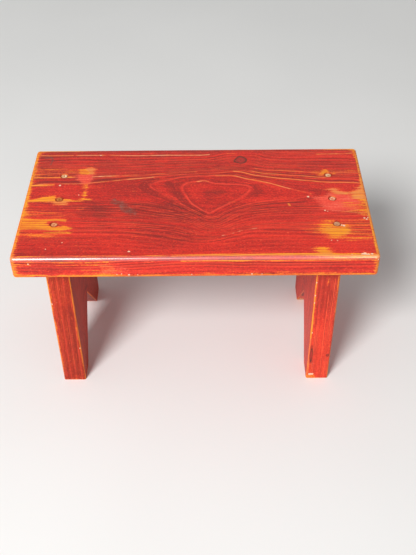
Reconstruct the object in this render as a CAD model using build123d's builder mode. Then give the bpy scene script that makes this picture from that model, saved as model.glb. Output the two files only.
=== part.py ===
from build123d import *
import math
import os

# Bucket bench of three planks: a seat board laid across two upright end boards and held
# down by a row of screws over each end board. A V cut in the foot of each end board
# leaves it standing on two feet.
#
# Millimetres. The origin is on the floor below the centre of the seat board. +X runs
# along the seat to the right, +Y to the back and +Z up.

# Seat board
seat_length = 548.0
seat_depth = 286.0
seat_thickness = 38.0
seat_height = 300.0  # floor to the sitting surface
seat_corner_radius = 6.0  # the four corners, seen from above
seat_top_radius = 4.0  # rounding of the upper edge
seat_bottom_radius = 3.0  # rounding of the lower edge

# End boards
end_width = 234.0
end_thickness = 38.0
left_overhang = 42.0  # end of the seat to the outer face of the left board
right_overhang = 50.0  # the same at the right board
front_overhang = 26.0  # front of the seat to the front edges of both boards
end_edge_radius = 3.0  # rounding of the long edges
foot_width = 38.0  # each foot, measured on the floor
notch_height = 100.0  # floor to the point of the V
foot_chamfer = 1.5  # broken edge round the sole of each foot

# Screws
screw_length = 75.0
thread_diameter = 5.0
thread_length = 50.0  # includes the point
point_length = 6.0
shank_diameter = 4.0  # smooth part below the head
head_diameter = 10.0
head_angle = 90.0  # cone below the head
head_rim = 0.4  # straight edge of the head, above the cone
sink_depth = 1.2  # top of the head below the sitting surface
seat_hole_clearance = 0.25  # all round the thread, in the seat
point_clearance = 1.0  # empty hole below the point
drive_length = 5.0  # cross recess in the head
drive_width = 1.1
drive_depth = 2.0

# Rows of screws
screw_pitch = 64.0
left_row_edge = 14.0  # outer face of the left board to its row
right_row_edge = 6.0  # the same at the right board
left_row_shift = 3.0  # the left row sits this far behind the middle of its board
left_turns = (12.0, 55.0, 31.0)  # turn of each cross recess, from front to back
right_turns = (70.0, 20.0, 44.0)

# Places that follow from the sizes
seat_under = seat_height - seat_thickness
end_middle = -seat_depth / 2 + front_overhang + end_width / 2
left_outer = -seat_length / 2 + left_overhang
right_outer = seat_length / 2 - right_overhang
head_top = seat_height - sink_depth
cone_slope = math.tan(math.radians(head_angle / 2))
cone_height = (head_diameter - shank_diameter) / 2 / cone_slope
mouth_radius = head_diameter / 2 + (sink_depth + head_rim) * cone_slope
end_hole_depth = seat_under - head_top + screw_length + point_clearance


def row_points(x, middle, z):
    """Centres of one row of screws at height z, from front to back."""
    return [(x, middle + step * screw_pitch, z) for step in (-1, 0, 1)]


left_row = row_points(left_outer + left_row_edge, end_middle + left_row_shift, seat_height)
right_row = row_points(right_outer - right_row_edge, end_middle, seat_height)

os.makedirs("parts", exist_ok=True)

# Seat board, with a countersunk hole for each screw
with BuildPart() as seat_board:
    with BuildSketch(Plane.XY.offset(seat_under)):
        RectangleRounded(seat_length, seat_depth, seat_corner_radius)
    extrude(amount=seat_thickness)
    fillet(seat_board.faces().sort_by(Axis.Z)[-1].edges(), radius=seat_top_radius)
    fillet(seat_board.faces().sort_by(Axis.Z)[0].edges(), radius=seat_bottom_radius)
    with Locations(*left_row, *right_row):
        CounterSinkHole(
            radius=thread_diameter / 2 + seat_hole_clearance,
            counter_sink_radius=mouth_radius,
            depth=seat_thickness,
            counter_sink_angle=head_angle,
        )
seat_board.part.label = "seat_board"
export_step(seat_board.part, "parts/seat_board.step")


def make_end_board(middle, row):
    """One end board, with the middle of its thickness at X = middle, drilled for a row."""
    with BuildPart() as board:
        with BuildSketch(Plane.XY):
            with Locations((middle, end_middle)):
                RectangleRounded(end_thickness, end_width, end_edge_radius)
        extrude(amount=seat_under)
        with BuildSketch(Plane.YZ.offset(middle)):
            with BuildLine():
                Polyline(
                    (end_middle - end_width / 2 + foot_width, 0),
                    (end_middle + end_width / 2 - foot_width, 0),
                    (end_middle, notch_height),
                    close=True,
                )
            make_face()
        extrude(amount=end_thickness / 2, both=True, mode=Mode.SUBTRACT)
        chamfer(board.faces().filter_by(Plane.XY).group_by(Axis.Z)[0].edges(), length=foot_chamfer)
        with Locations(*[(x, y, seat_under) for x, y, z in row]):
            Hole(radius=thread_diameter / 2, depth=end_hole_depth)
    return board


# End boards
left_end_board = make_end_board(left_outer + end_thickness / 2, left_row)
left_end_board.part.label = "left_end_board"
export_step(left_end_board.part, "parts/left_end_board.step")

right_end_board = make_end_board(right_outer - end_thickness / 2, right_row)
right_end_board.part.label = "right_end_board"
export_step(right_end_board.part, "parts/right_end_board.step")


def make_screw(x, y, turn):
    """One countersunk wood screw, point down, with its cross recess turned in degrees."""
    top = Plane(origin=(x, y, head_top), x_dir=(1, 0, 0), z_dir=(0, 0, 1)).rotated((0, 0, turn))
    side = Plane(origin=(x, y, head_top), x_dir=(1, 0, 0), z_dir=(0, -1, 0))
    with BuildPart() as screw:
        with BuildSketch(side):
            with BuildLine():
                Polyline(
                    (0, 0),
                    (head_diameter / 2, 0),
                    (head_diameter / 2, -head_rim),
                    (shank_diameter / 2, -head_rim - cone_height),
                    (shank_diameter / 2, thread_length - screw_length),
                    (thread_diameter / 2, thread_length - screw_length),
                    (thread_diameter / 2, point_length - screw_length),
                    (0, -screw_length),
                    close=True,
                )
            make_face()
        revolve(axis=Axis((x, y, 0), (0, 0, 1)))
        with BuildSketch(top):
            Rectangle(drive_length, drive_width)
            Rectangle(drive_width, drive_length)
        extrude(amount=-drive_depth, mode=Mode.SUBTRACT)
    return screw


# Screws, each named for its end and its place in the row
for side_name, row, turns in (("left", left_row, left_turns), ("right", right_row, right_turns)):
    for place, (x, y, z), turn in zip(("front", "middle", "back"), row, turns):
        screw = make_screw(x, y, turn)
        screw.part.label = f"{side_name}_screw_{place}"
        export_step(screw.part, f"parts/{screw.part.label}.step")
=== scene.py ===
"""Bucket bench in worn red stain: planks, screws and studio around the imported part.

Metres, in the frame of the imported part: the origin is on the floor below the centre of the
seat board, +X runs along the seat to the right, +Y to the back and +Z up. Sizes that a maker
would measure are written in millimetres and turned into metres where a mesh is made.
"""

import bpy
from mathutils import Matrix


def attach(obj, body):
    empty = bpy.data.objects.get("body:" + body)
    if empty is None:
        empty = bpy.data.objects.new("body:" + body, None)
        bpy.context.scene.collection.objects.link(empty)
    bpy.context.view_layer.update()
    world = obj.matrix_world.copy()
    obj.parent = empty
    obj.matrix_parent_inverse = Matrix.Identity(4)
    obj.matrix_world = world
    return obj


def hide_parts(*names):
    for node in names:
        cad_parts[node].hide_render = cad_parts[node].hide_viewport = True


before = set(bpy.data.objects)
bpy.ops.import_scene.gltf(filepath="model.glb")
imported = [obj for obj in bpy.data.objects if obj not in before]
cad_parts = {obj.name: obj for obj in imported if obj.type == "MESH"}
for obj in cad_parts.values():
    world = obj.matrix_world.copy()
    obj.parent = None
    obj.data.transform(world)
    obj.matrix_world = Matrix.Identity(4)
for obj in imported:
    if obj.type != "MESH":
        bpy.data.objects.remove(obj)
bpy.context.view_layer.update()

import logging
import math
from collections.abc import Sequence
from dataclasses import dataclass, field
from enum import Enum

import bpy
import numpy as np
from mathutils import Matrix, Vector

log = logging.getLogger("bucket_bench")

MM = 0.001
NEAR = 0.01  # places closer than this count as one, mm
TINY = 1e-9  # keeps a division or a logarithm from failing
Path2 = tuple[tuple[float, float], ...]
Triple = tuple[float, float, float]
Ramp = tuple[tuple[float, Triple], ...]  # each colour's place, and the colour as a screen shows it
Socket = bpy.types.NodeSocket


# ---------------------------------------------------------------- named choices


class Axis(Enum):
    """The three directions of the frame."""

    X = 0
    Y = 1
    Z = 2

    def normal(self) -> Triple:
        """The unit vector along this axis."""
        return tuple(1.0 if i == self.value else 0.0 for i in range(3))


class Channel(Enum):
    """What a mark changes on a board. Each is a vertex attribute that the finish reads."""

    BARE = "bare"  # stain worn through to the wood
    TONE = "tone"  # colour of the bare wood: 0 orange, 0.35 yellow, 0.7 tan, 1 rosy
    CREST = "crest"  # stain rubbed off the crest of a growth ring
    CREAM = "cream"  # how pale that crest is: 0 orange, 1 cream
    SHADE = "shade"  # darker, maroon wood
    GLOW = "glow"  # cleaner, brighter red; on the seat's front face, painted light that brightens the whole face
    PLAIN = "plain"  # few dark lines
    ROSE = "rose"  # thin, rosy stain
    GREY = "grey"  # smudges and scratches in grey
    CHIP = "chip"  # small chips down to pale wood


class Element(Enum):
    """What can be selected in a mesh, as (mode, list of the mesh)."""

    EDGES = ("EDGE", "edges")
    FACES = ("FACE", "polygons")


class Side(Enum):
    """The faces of a board, as (axis, sign)."""

    LEFT = (0, -1)
    RIGHT = (0, 1)
    FRONT = (1, -1)
    BACK = (1, 1)
    BELOW = (2, -1)
    TOP = (2, 1)

    def plane_axes(self) -> tuple[int, int]:
        """The two axes that lie in this face, in the order that its marks are written."""
        return tuple(i for i in range(3) if i != self.value[0])

    def faced(self, normals: np.ndarray, low: float = 0.2, high: float = 0.6) -> np.ndarray:
        """How well each normal points this side's way, eased from 0 at low to 1 at high."""
        return smooth(normals[:, self.value[0]] * self.value[1], low, high)


# ---------------------------------------------------------------- small numeric helpers


def ease(t: np.ndarray) -> np.ndarray:
    """Smooth step of numbers from 0 to 1."""
    return t * t * (3.0 - 2.0 * t)


def smooth(values: np.ndarray, low: float | np.ndarray, high: float | np.ndarray) -> np.ndarray:
    """Eased step from 0 at low to 1 at high, which may be below low."""
    return ease(np.clip((values - low) / (high - low), 0.0, 1.0))


def near(values: np.ndarray, place: float | np.ndarray) -> np.ndarray:
    """Whether each number is at a place."""
    return abs(values - place) < NEAR


def distance_to_path(points: np.ndarray, path: Path2) -> np.ndarray:
    """Distance from each point to a line of points.

    Args:
        points: N rows of two coordinates, in mm.
        path: The line's points, in mm. One point stands for a spot.

    Returns:
        N distances in mm.
    """
    nodes = np.array(path, float)
    if len(nodes) == 1:
        return np.hypot(*(points - nodes[0]).T)
    best = np.full(len(points), np.inf)
    for a, b in zip(nodes[:-1], nodes[1:]):
        run = b - a
        t = np.clip((points - a) @ run / max(run @ run, TINY), 0.0, 1.0)
        best = np.minimum(best, np.hypot(*(points - a - t[:, None] * run).T))
    return best


class LatticeNoise:
    """Smooth random values in space, the same on every run."""

    CELLS = 32
    SHIFT = 1000.0  # in cells, keeps the board away from the lattice's origin

    def __init__(self, seed: int) -> None:
        """Draws the lattice from a seed."""
        self.table = np.random.default_rng(seed).random((self.CELLS,) * 3)

    def at(self, points: np.ndarray, size: float | Triple) -> np.ndarray:
        """Values from 0 to 1 at some points.

        Args:
            points: N rows of three coordinates, in mm.
            size: Distance between lattice points, in mm, which may differ along each axis.

        Returns:
            N values.
        """
        q = points / np.array(size) + self.SHIFT
        cell = np.floor(q).astype(int)
        t = ease(q - cell)
        total = np.zeros(len(points))
        for corner in np.ndindex(2, 2, 2):
            weight = np.prod([t[:, i] if c else 1.0 - t[:, i] for i, c in enumerate(corner)], axis=0)
            i, j, k = ((cell[:, n] + corner[n]) % self.CELLS for n in range(3))
            total += weight * self.table[i, j, k]
        return total


# ---------------------------------------------------------------- growth rings


@dataclass(frozen=True)
class SeatRings:
    """Growth rings of the seat board: a flat-sawn plank with an eye in the middle of its top.

    The marks are points on the sitting surface, each with its ring number. A thin plate
    through them gives the number everywhere on that surface, and below it the rings go down
    as arcs about the heart of the tree.
    """

    marks: tuple[tuple[float, Path2], ...]
    top: float = 300.0  # height of the sitting surface, mm
    stretch: float = 1.6  # rings run further along X than across
    slack: float = 30.0  # how far the plate may miss a mark
    heart_depth: float = 90.0  # heart of the tree below the surface, mm
    pitch: float = 5.4  # width of a ring, mm

    def _kernel(self, squared: np.ndarray) -> np.ndarray:
        """Thin plate kernel of squared distances."""
        return squared * np.log(np.maximum(squared, TINY)) * 0.5

    def _solve(self) -> tuple[np.ndarray, np.ndarray]:
        """Fits the plate.

        Returns:
            The marks' places, and the plate's weights.
        """
        rows = [(x / self.stretch, y, ring) for ring, path in self.marks for x, y in path]
        data = np.array(rows, float)
        places, rings = data[:, :2], data[:, 2]
        count = len(places)
        system = np.zeros((count + 3, count + 3))
        apart = ((places[:, None] - places[None]) ** 2).sum(-1)
        system[:count, :count] = self._kernel(apart) + 0.5 * self.slack * np.eye(count)
        system[:count, count] = system[count, :count] = 1.0
        system[:count, count + 1 :] = places
        system[count + 1 :, :count] = places.T
        return places, np.linalg.solve(system, np.r_[rings, 0.0, 0.0, 0.0])

    def ring(self, points: np.ndarray) -> np.ndarray:
        """Ring numbers in the seat board.

        Args:
            points: N rows of three coordinates, in mm.

        Returns:
            N ring numbers.
        """
        places, weights = self._solve()
        x, y = points[:, 0] / self.stretch, points[:, 1]
        count = len(places)
        flat = weights[count] + weights[count + 1] * x + weights[count + 2] * y
        for (px, py), weight in zip(places, weights):
            flat = flat + weight * self._kernel((x - px) ** 2 + (y - py) ** 2)
        depth = self.top - points[:, 2]
        out = self.heart_depth + self.pitch * flat
        radius = np.sqrt(np.maximum(out**2 - 2.0 * self.heart_depth * depth + depth**2, 1.0))
        return (radius - self.heart_depth) / self.pitch


@dataclass(frozen=True)
class UprightRings:
    """Growth rings of an end board, whose grain stands upright.

    The heart of the tree lies beside the board and leans away from it in the middle, so
    that the wide faces show pointed arches and the narrow ones straight lines.
    """

    heart: tuple[float, float]  # X and Y of the heart at the floor, mm
    lean: float  # how far it moves in X for each mm up
    wander: float  # how far the rings wave, mm
    seed: int
    waves: Triple = (60.0, 45.0, 230.0)  # size of the waves along each axis, mm
    arch: float = 52.0  # how far from the middle the arches reach, mm
    pitch: float = 4.2  # width of a ring, mm

    def ring(self, points: np.ndarray) -> np.ndarray:
        """Ring numbers in an end board.

        Args:
            points: N rows of three coordinates, in mm.

        Returns:
            N ring numbers.
        """
        wave = self.wander * (LatticeNoise(self.seed).at(points, self.waves) - 0.5)
        lean = self.lean * np.exp(-(((points[:, 1] - self.heart[1]) / self.arch) ** 2))
        x = points[:, 0] - self.heart[0] - lean * points[:, 2] + wave
        y = points[:, 1] - self.heart[1] + wave
        return np.hypot(x, y) / self.pitch


# ---------------------------------------------------------------- marks of use


@dataclass(frozen=True)
class Mark:
    """A soft-edged mark on one face of a board, along a line of points in mm.

    The points are (x, y) on the top and below, (x, z) on the front and back, and (y, z) on
    the left and right.
    """

    side: Side
    channel: Channel
    path: Path2
    width: float  # from the line to where the mark ends
    strength: float = 1.0
    tone: float | None = None  # sets the tone of the bare wood, or the cream of a crest

    def weight(self, points: np.ndarray, normals: np.ndarray) -> np.ndarray:
        """How strongly the mark covers each vertex.

        Args:
            points: N rows of three coordinates, in mm.
            normals: The N normals there.

        Returns:
            N weights from 0 to 1.
        """
        away = distance_to_path(points[:, self.side.plane_axes()], self.path)
        return self.side.faced(normals) * smooth(away, self.width, self.width * 0.25)


@dataclass(frozen=True)
class Patch(Mark):
    """A mark that fills an outline: its path goes round it, and its width softens the border."""

    drawn: tuple[float, float] = (3.0, 1.0)  # how much softer it is along each axis of the face

    def weight(self, points: np.ndarray, normals: np.ndarray) -> np.ndarray:
        """How strongly the patch covers each vertex.

        Args:
            points: N rows of three coordinates, in mm.
            normals: The N normals there.

        Returns:
            N weights from 0 to 1.
        """
        flat = points[:, self.side.plane_axes()] / np.array(self.drawn)
        path = tuple((u / self.drawn[0], v / self.drawn[1]) for u, v in self.path)
        border = distance_to_path(flat, path + path[:1])
        inside = np.zeros(len(flat), bool)
        for (ax, ay), (bx, by) in zip(path, path[1:] + path[:1]):
            spans = (flat[:, 1] < ay) != (flat[:, 1] < by)
            rise = by - ay if by != ay else TINY
            inside ^= spans & (flat[:, 0] < ax + (flat[:, 1] - ay) * (bx - ax) / rise)
        signed = np.where(inside, border, -border)
        return self.side.faced(normals) * smooth(signed, -self.width, self.width)


# ---------------------------------------------------------------- shaping a board


@dataclass
class Workpiece:
    """A mesh on the bench, shaped with the mesh tools and finished at the origin."""

    obj: bpy.types.Object

    @classmethod
    def block(cls, name: str, low: Triple, high: Triple) -> "Workpiece":
        """Starts from a block of wood.

        Args:
            name: Name of the piece.
            low: Lowest corner, in mm.
            high: Highest corner, in mm.

        Returns:
            The piece, with its place in its mesh.
        """
        bpy.ops.object.select_all(action="DESELECT")
        a, b = Vector(low) * MM, Vector(high) * MM
        bpy.ops.mesh.primitive_cube_add(size=1.0, location=(a + b) / 2, scale=b - a)
        return cls._settled(name)

    @classmethod
    def turned(
        cls,
        name: str,
        surface: float,
        depth: float,
        radius: float,
        corners: int,
        steps: Sequence[tuple[float, float | None]],
    ) -> "Workpiece":
        """A round cutter about the Z axis, drawn up from a disc below a surface.

        Args:
            name: Name of the piece.
            surface: Height of the surface that it cuts into, in mm.
            depth: How far below it the disc lies, in mm.
            radius: The disc's radius, in mm.
            corners: How many corners it has.
            steps: How far each length goes up, and the radius at its top, in mm. None leaves it.

        Returns:
            The cutter, at X and Y of 0.
        """
        bpy.ops.object.select_all(action="DESELECT")
        bpy.ops.mesh.primitive_circle_add(
            vertices=corners,
            radius=radius * MM,
            fill_type="NGON",
            location=Vector((0.0, 0.0, surface - depth)) * MM,
        )
        cutter = cls._settled(name)
        cutter.activate()
        bpy.ops.object.mode_set(mode="EDIT")
        bpy.ops.mesh.select_all(action="SELECT")
        for rise, wide in steps:
            bpy.ops.mesh.extrude_region_move(TRANSFORM_OT_translate={"value": (0.0, 0.0, rise * MM)})
            if wide is not None:
                factor, radius = wide / radius, wide
                middle = (0.0, 0.0, surface * MM)
                bpy.ops.transform.resize(value=(factor, factor, 1.0), center_override=middle)
        bpy.ops.mesh.select_all(action="SELECT")
        bpy.ops.mesh.normals_make_consistent(inside=False)
        cutter.done()
        return cutter

    @classmethod
    def _settled(cls, name: str) -> "Workpiece":
        """Names the new primitive and puts its place in its mesh.

        Args:
            name: The name.

        Returns:
            The primitive as a piece.
        """
        obj = bpy.context.object
        obj.name = obj.data.name = name
        bpy.ops.object.transform_apply(location=True, rotation=True, scale=True)
        return cls(obj)

    def activate(self) -> None:
        """Makes this the only selected object and the active one."""
        bpy.ops.object.select_all(action="DESELECT")
        self.obj.select_set(True)
        bpy.context.view_layer.objects.active = self.obj

    def _read(self, items: str, key: str, columns: int, kind: type = float) -> np.ndarray:
        """Reads one property of everything in a list of the mesh.

        Args:
            items: Name of the list.
            key: Name of the property.
            columns: How many numbers it has.
            kind: What numbers they are.

        Returns:
            One row for each item.
        """
        rows = getattr(self.obj.data, items)
        flat = np.empty(len(rows) * columns, kind)
        rows.foreach_get(key, flat)
        return flat.reshape(-1, columns)

    def points(self) -> np.ndarray:
        """The vertices, N rows in mm."""
        return self._read("vertices", "co", 3) / MM

    def normals(self) -> np.ndarray:
        """The vertex normals, N rows."""
        return self._read("vertex_normals", "vector", 3, np.float32).astype(float)

    def face_centres(self) -> np.ndarray:
        """The middle of each face, N rows in mm."""
        return self._read("polygons", "center", 3) / MM

    def edge_ends(self) -> np.ndarray:
        """The two ends of each edge, as two lists of N rows in mm."""
        return self.points()[self._read("edges", "vertices", 2, np.int32).T]

    def _begin(self, mode: str) -> None:
        """Goes into edit mode.

        Args:
            mode: What is to be selected there: "VERT", "EDGE" or "FACE".
        """
        self.activate()
        bpy.ops.object.mode_set(mode="EDIT")
        bpy.ops.mesh.select_mode(type=mode)

    def select(self, element: Element, chosen: np.ndarray) -> None:
        """Leaves the mesh in edit mode with just some edges or faces selected.

        Args:
            element: Which of the two.
            chosen: One truth value for each.
        """
        mode, items = element.value
        self._begin(mode)
        bpy.ops.mesh.select_all(action="DESELECT")
        bpy.ops.object.mode_set(mode="OBJECT")
        getattr(self.obj.data, items).foreach_set("select", chosen.astype(bool))
        bpy.ops.object.mode_set(mode="EDIT")

    def done(self) -> None:
        """Leaves edit mode."""
        bpy.ops.object.mode_set(mode="OBJECT")

    def cut(self, axis: Axis, places: Sequence[float]) -> None:
        """Cuts the mesh across an axis, so that an edge runs round it there.

        Args:
            axis: The axis that the cuts are square to.
            places: Where they go, in mm.
        """
        self._begin("VERT")
        for place in places:
            bpy.ops.mesh.select_all(action="SELECT")
            at = Vector(axis.normal()) * place * MM
            bpy.ops.mesh.bisect(plane_co=at, plane_no=axis.normal(), threshold=1e-6)
        self.done()

    def round_edges(self, chosen: np.ndarray, radius: float, segments: int) -> None:
        """Rounds some edges.

        Args:
            chosen: One truth value for each edge.
            radius: How far the rounding reaches from the edge, in mm.
            segments: How many faces go round it.
        """
        self.select(Element.EDGES, chosen)
        bpy.ops.mesh.bevel(
            offset=radius * MM, segments=segments, profile=0.5, affect="EDGES", clamp_overlap=False
        )
        self.done()

    def split(self, element: Element, chosen: np.ndarray, parts: int) -> None:
        """Splits some edges, or the faces' own edges, into equal parts.

        Args:
            element: Edges or faces.
            chosen: One truth value for each.
            parts: How many parts each edge is split into.
        """
        self.select(element, chosen)
        bpy.ops.mesh.subdivide(number_cuts=parts - 1)
        self.done()

    def divide(self, axis: Axis, low: float, high: float, cell: float) -> None:
        """Divides every edge that runs from low to high along an axis.

        Args:
            axis: The axis.
            low: Place of the lower ends, in mm.
            high: Place of the upper ends, in mm.
            cell: About how long the parts are, in mm.
        """
        ends = self.edge_ends()[:, :, axis.value]
        chosen = near(ends.min(0), low) & near(ends.max(0), high)
        self.split(Element.EDGES, chosen, round((high - low) / cell))

    def carve(self, cutter: "Workpiece") -> None:
        """Cuts another piece's shape out of this one and removes the cutter.

        Args:
            cutter: A closed piece.
        """
        modifier = self.obj.modifiers.new("carve", "BOOLEAN")
        modifier.operation = "DIFFERENCE"
        modifier.solver = "EXACT"
        modifier.object = cutter.obj
        self.activate()
        bpy.ops.object.modifier_apply(modifier=modifier.name)
        bpy.data.objects.remove(cutter.obj)

    def smooth_shading(self, angle: float) -> None:
        """Shades the mesh smooth, but not over edges sharper than an angle in degrees."""
        self.activate()
        bpy.ops.object.shade_smooth_by_angle(angle=math.radians(angle))

    def write(self, name: str, values: np.ndarray) -> None:
        """Stores one number for each vertex under a name."""
        attribute = self.obj.data.attributes.new(name, "FLOAT", "POINT")
        attribute.data.foreach_set("value", values.astype(np.float32))

    def move_to(self, points: np.ndarray) -> None:
        """Gives the vertices new places, as N rows in mm."""
        self.obj.data.vertices.foreach_set("co", (points * MM).ravel())
        self.obj.data.update()


# ---------------------------------------------------------------- laying out materials


def linear(*screen: float) -> tuple[float, ...]:
    """A colour as a shader takes it, with alpha 1, from red, green and blue of 0 to 255."""
    parts = (value / 255.0 for value in screen)
    return (*(c / 12.92 if c <= 0.04045 else ((c + 0.055) / 1.055) ** 2.4 for c in parts), 1.0)


@dataclass
class NodeSheet:
    """Lays out the nodes of one material. A number is given as a value or as a node's output."""

    material: bpy.types.Material

    @classmethod
    def blank(cls, name: str) -> "NodeSheet":
        """A new material with no nodes but its output and shader.

        Args:
            name: Its name.

        Returns:
            The sheet for it.
        """
        material = bpy.data.materials.new(name)
        material.use_nodes = True
        return cls(material)

    @property
    def tree(self) -> bpy.types.NodeTree:
        """The material's node tree."""
        return self.material.node_tree

    @property
    def shader(self) -> bpy.types.Node:
        """The material's surface shader."""
        return self.tree.nodes["Principled BSDF"]

    def add(self, kind: str, **settings: object) -> bpy.types.Node:
        """Adds a node.

        Args:
            kind: The node's type.
            settings: Its properties.

        Returns:
            The node.
        """
        node = self.tree.nodes.new(kind)
        for key, value in settings.items():
            setattr(node, key, value)
        return node

    def feed(self, socket: Socket, source: object) -> None:
        """Connects an input to another node's output, or sets it to a value.

        Args:
            socket: The input.
            source: The output or the value. None leaves the input alone.
        """
        if isinstance(source, Socket):
            self.tree.links.new(source, socket)
        elif source is not None:
            socket.default_value = source

    def attribute(self, name: str) -> Socket:
        """The number that the mesh stores under a name."""
        return self.add("ShaderNodeAttribute", attribute_name=name).outputs["Fac"]

    def place(self, scale: Triple, offset: Triple = (0.0, 0.0, 0.0)) -> Socket:
        """The place on the object, stretched.

        Args:
            scale: Repeats in a metre, along each axis.
            offset: Shift after that.

        Returns:
            The vector.
        """
        node = self.add("ShaderNodeMapping")
        self.feed(node.inputs["Vector"], self.add("ShaderNodeTexCoord").outputs["Object"])
        node.inputs["Scale"].default_value = scale
        node.inputs["Location"].default_value = offset
        return node.outputs["Vector"]

    def math(self, operation: str, a: object, b: object = None) -> Socket:
        """One step of arithmetic.

        Args:
            operation: The step, as Blender names it.
            a: First number.
            b: Second number, if the step takes one.

        Returns:
            The result.
        """
        node = self.add("ShaderNodeMath", operation=operation)
        self.feed(node.inputs[0], a)
        self.feed(node.inputs[1], b)
        return node.outputs[0]

    def times(self, a: object, b: object) -> Socket:
        """The product of two numbers."""
        return self.math("MULTIPLY", a, b)

    def larger(self, a: object, b: object) -> Socket:
        """The larger of two numbers."""
        return self.math("MAXIMUM", a, b)

    def total(self, base: object, *parts: tuple[object, float], middle: float = 0.0) -> Socket:
        """Adds shares of some numbers to another.

        Args:
            base: The number.
            parts: What is added, each with its share.
            middle: What counts as nothing in them.

        Returns:
            The sum.
        """
        for extra, share in parts:
            node = self.add("ShaderNodeMath", operation="MULTIPLY_ADD")
            self.feed(node.inputs[0], extra)
            node.inputs[1].default_value = share
            self.feed(node.inputs[2], self.math("SUBTRACT", base, share * middle) if middle else base)
            base = node.outputs[0]
        return base

    def stir(self, base: object, *noises: tuple[object, float]) -> Socket:
        """Adds shares of some noises to a number, up or down from their middle of 0.5."""
        return self.total(base, *noises, middle=0.5)

    def step(self, value: object, low: float, high: float) -> Socket:
        """Eased step from 0 at low to 1 at high, which may be below low.

        Args:
            value: The number.
            low: Where the result is 0.
            high: Where it is 1.

        Returns:
            The result.
        """
        node = self.add("ShaderNodeMapRange", interpolation_type="SMOOTHSTEP")
        flip = low > high
        self.feed(node.inputs["Value"], value)
        node.inputs["From Min"].default_value = min(low, high)
        node.inputs["From Max"].default_value = max(low, high)
        node.inputs["To Min"].default_value = 1.0 if flip else 0.0
        node.inputs["To Max"].default_value = 0.0 if flip else 1.0
        return node.outputs["Result"]

    def noise(self, vector: Socket, detail: float = 2.0, rough: float = 0.5) -> Socket:
        """Smooth noise in space, about one feature in a unit of the vector.

        Args:
            vector: Where it is read.
            detail: Finer layers.
            rough: How strong they are.

        Returns:
            Numbers about 0.5.
        """
        node = self.add("ShaderNodeTexNoise", noise_dimensions="3D")
        self.feed(node.inputs["Vector"], vector)
        node.inputs["Scale"].default_value = 1.0
        node.inputs["Detail"].default_value = detail
        node.inputs["Roughness"].default_value = rough
        return node.outputs["Fac"]

    def bands(self, along: Socket, scale: float) -> Socket:
        """Noise that changes with one number only, for bands.

        Args:
            along: The number.
            scale: Bands in a unit of it.

        Returns:
            Numbers about 0.5.
        """
        node = self.add("ShaderNodeTexNoise", noise_dimensions="1D")
        self.feed(node.inputs["W"], along)
        node.inputs["Scale"].default_value = scale
        node.inputs["Detail"].default_value = 2.0
        return node.outputs["Fac"]

    def mix(self, factor: object, a: object, b: object) -> Socket:
        """Mixes two colours.

        Args:
            factor: How much of the second.
            a: First colour.
            b: Second colour.

        Returns:
            The colour.
        """
        node = self.add("ShaderNodeMix", data_type="RGBA", blend_type="MIX")
        self.feed(node.inputs["Factor"], factor)
        self.feed(node.inputs[6], a)
        self.feed(node.inputs[7], b)
        return node.outputs[2]

    def lay(self, colour: object, cover: object, strength: float, tint: object) -> Socket:
        """Lays a colour over another.

        Args:
            colour: The colour so far.
            cover: Where the new one lies, 0 to 1.
            strength: How much of it shows there.
            tint: The new colour.

        Returns:
            The colour.
        """
        return self.mix(self.times(cover, strength), colour, tint)

    def ramp(self, factor: object, stops: Ramp) -> Socket:
        """A run of colours.

        Args:
            factor: Where along it.
            stops: The colours and their places.

        Returns:
            The colour.
        """
        node = self.add("ShaderNodeValToRGB")
        elements = node.color_ramp.elements
        while len(elements) < len(stops):
            elements.new(1.0)
        for element, (at, colour) in zip(elements, stops):
            element.position = at
            element.color = linear(*colour)
        self.feed(node.inputs["Fac"], factor)
        return node.outputs["Color"]

    def finish(
        self, colour: object, roughness: object, height: object = None, depth: float = 0.0
    ) -> bpy.types.Material:
        """Connects the shader.

        Args:
            colour: Its colour.
            roughness: Its roughness.
            height: Height of the fine relief, 0 to 1. None leaves the surface even.
            depth: How deep that relief is, in metres.

        Returns:
            The material.
        """
        self.feed(self.shader.inputs["Base Color"], colour)
        self.feed(self.shader.inputs["Roughness"], roughness)
        if height is not None:
            bump = self.add("ShaderNodeBump")
            bump.inputs["Distance"].default_value = depth
            self.feed(bump.inputs["Height"], height)
            self.feed(self.shader.inputs["Normal"], bump.outputs["Normal"])
        return self.material


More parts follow.
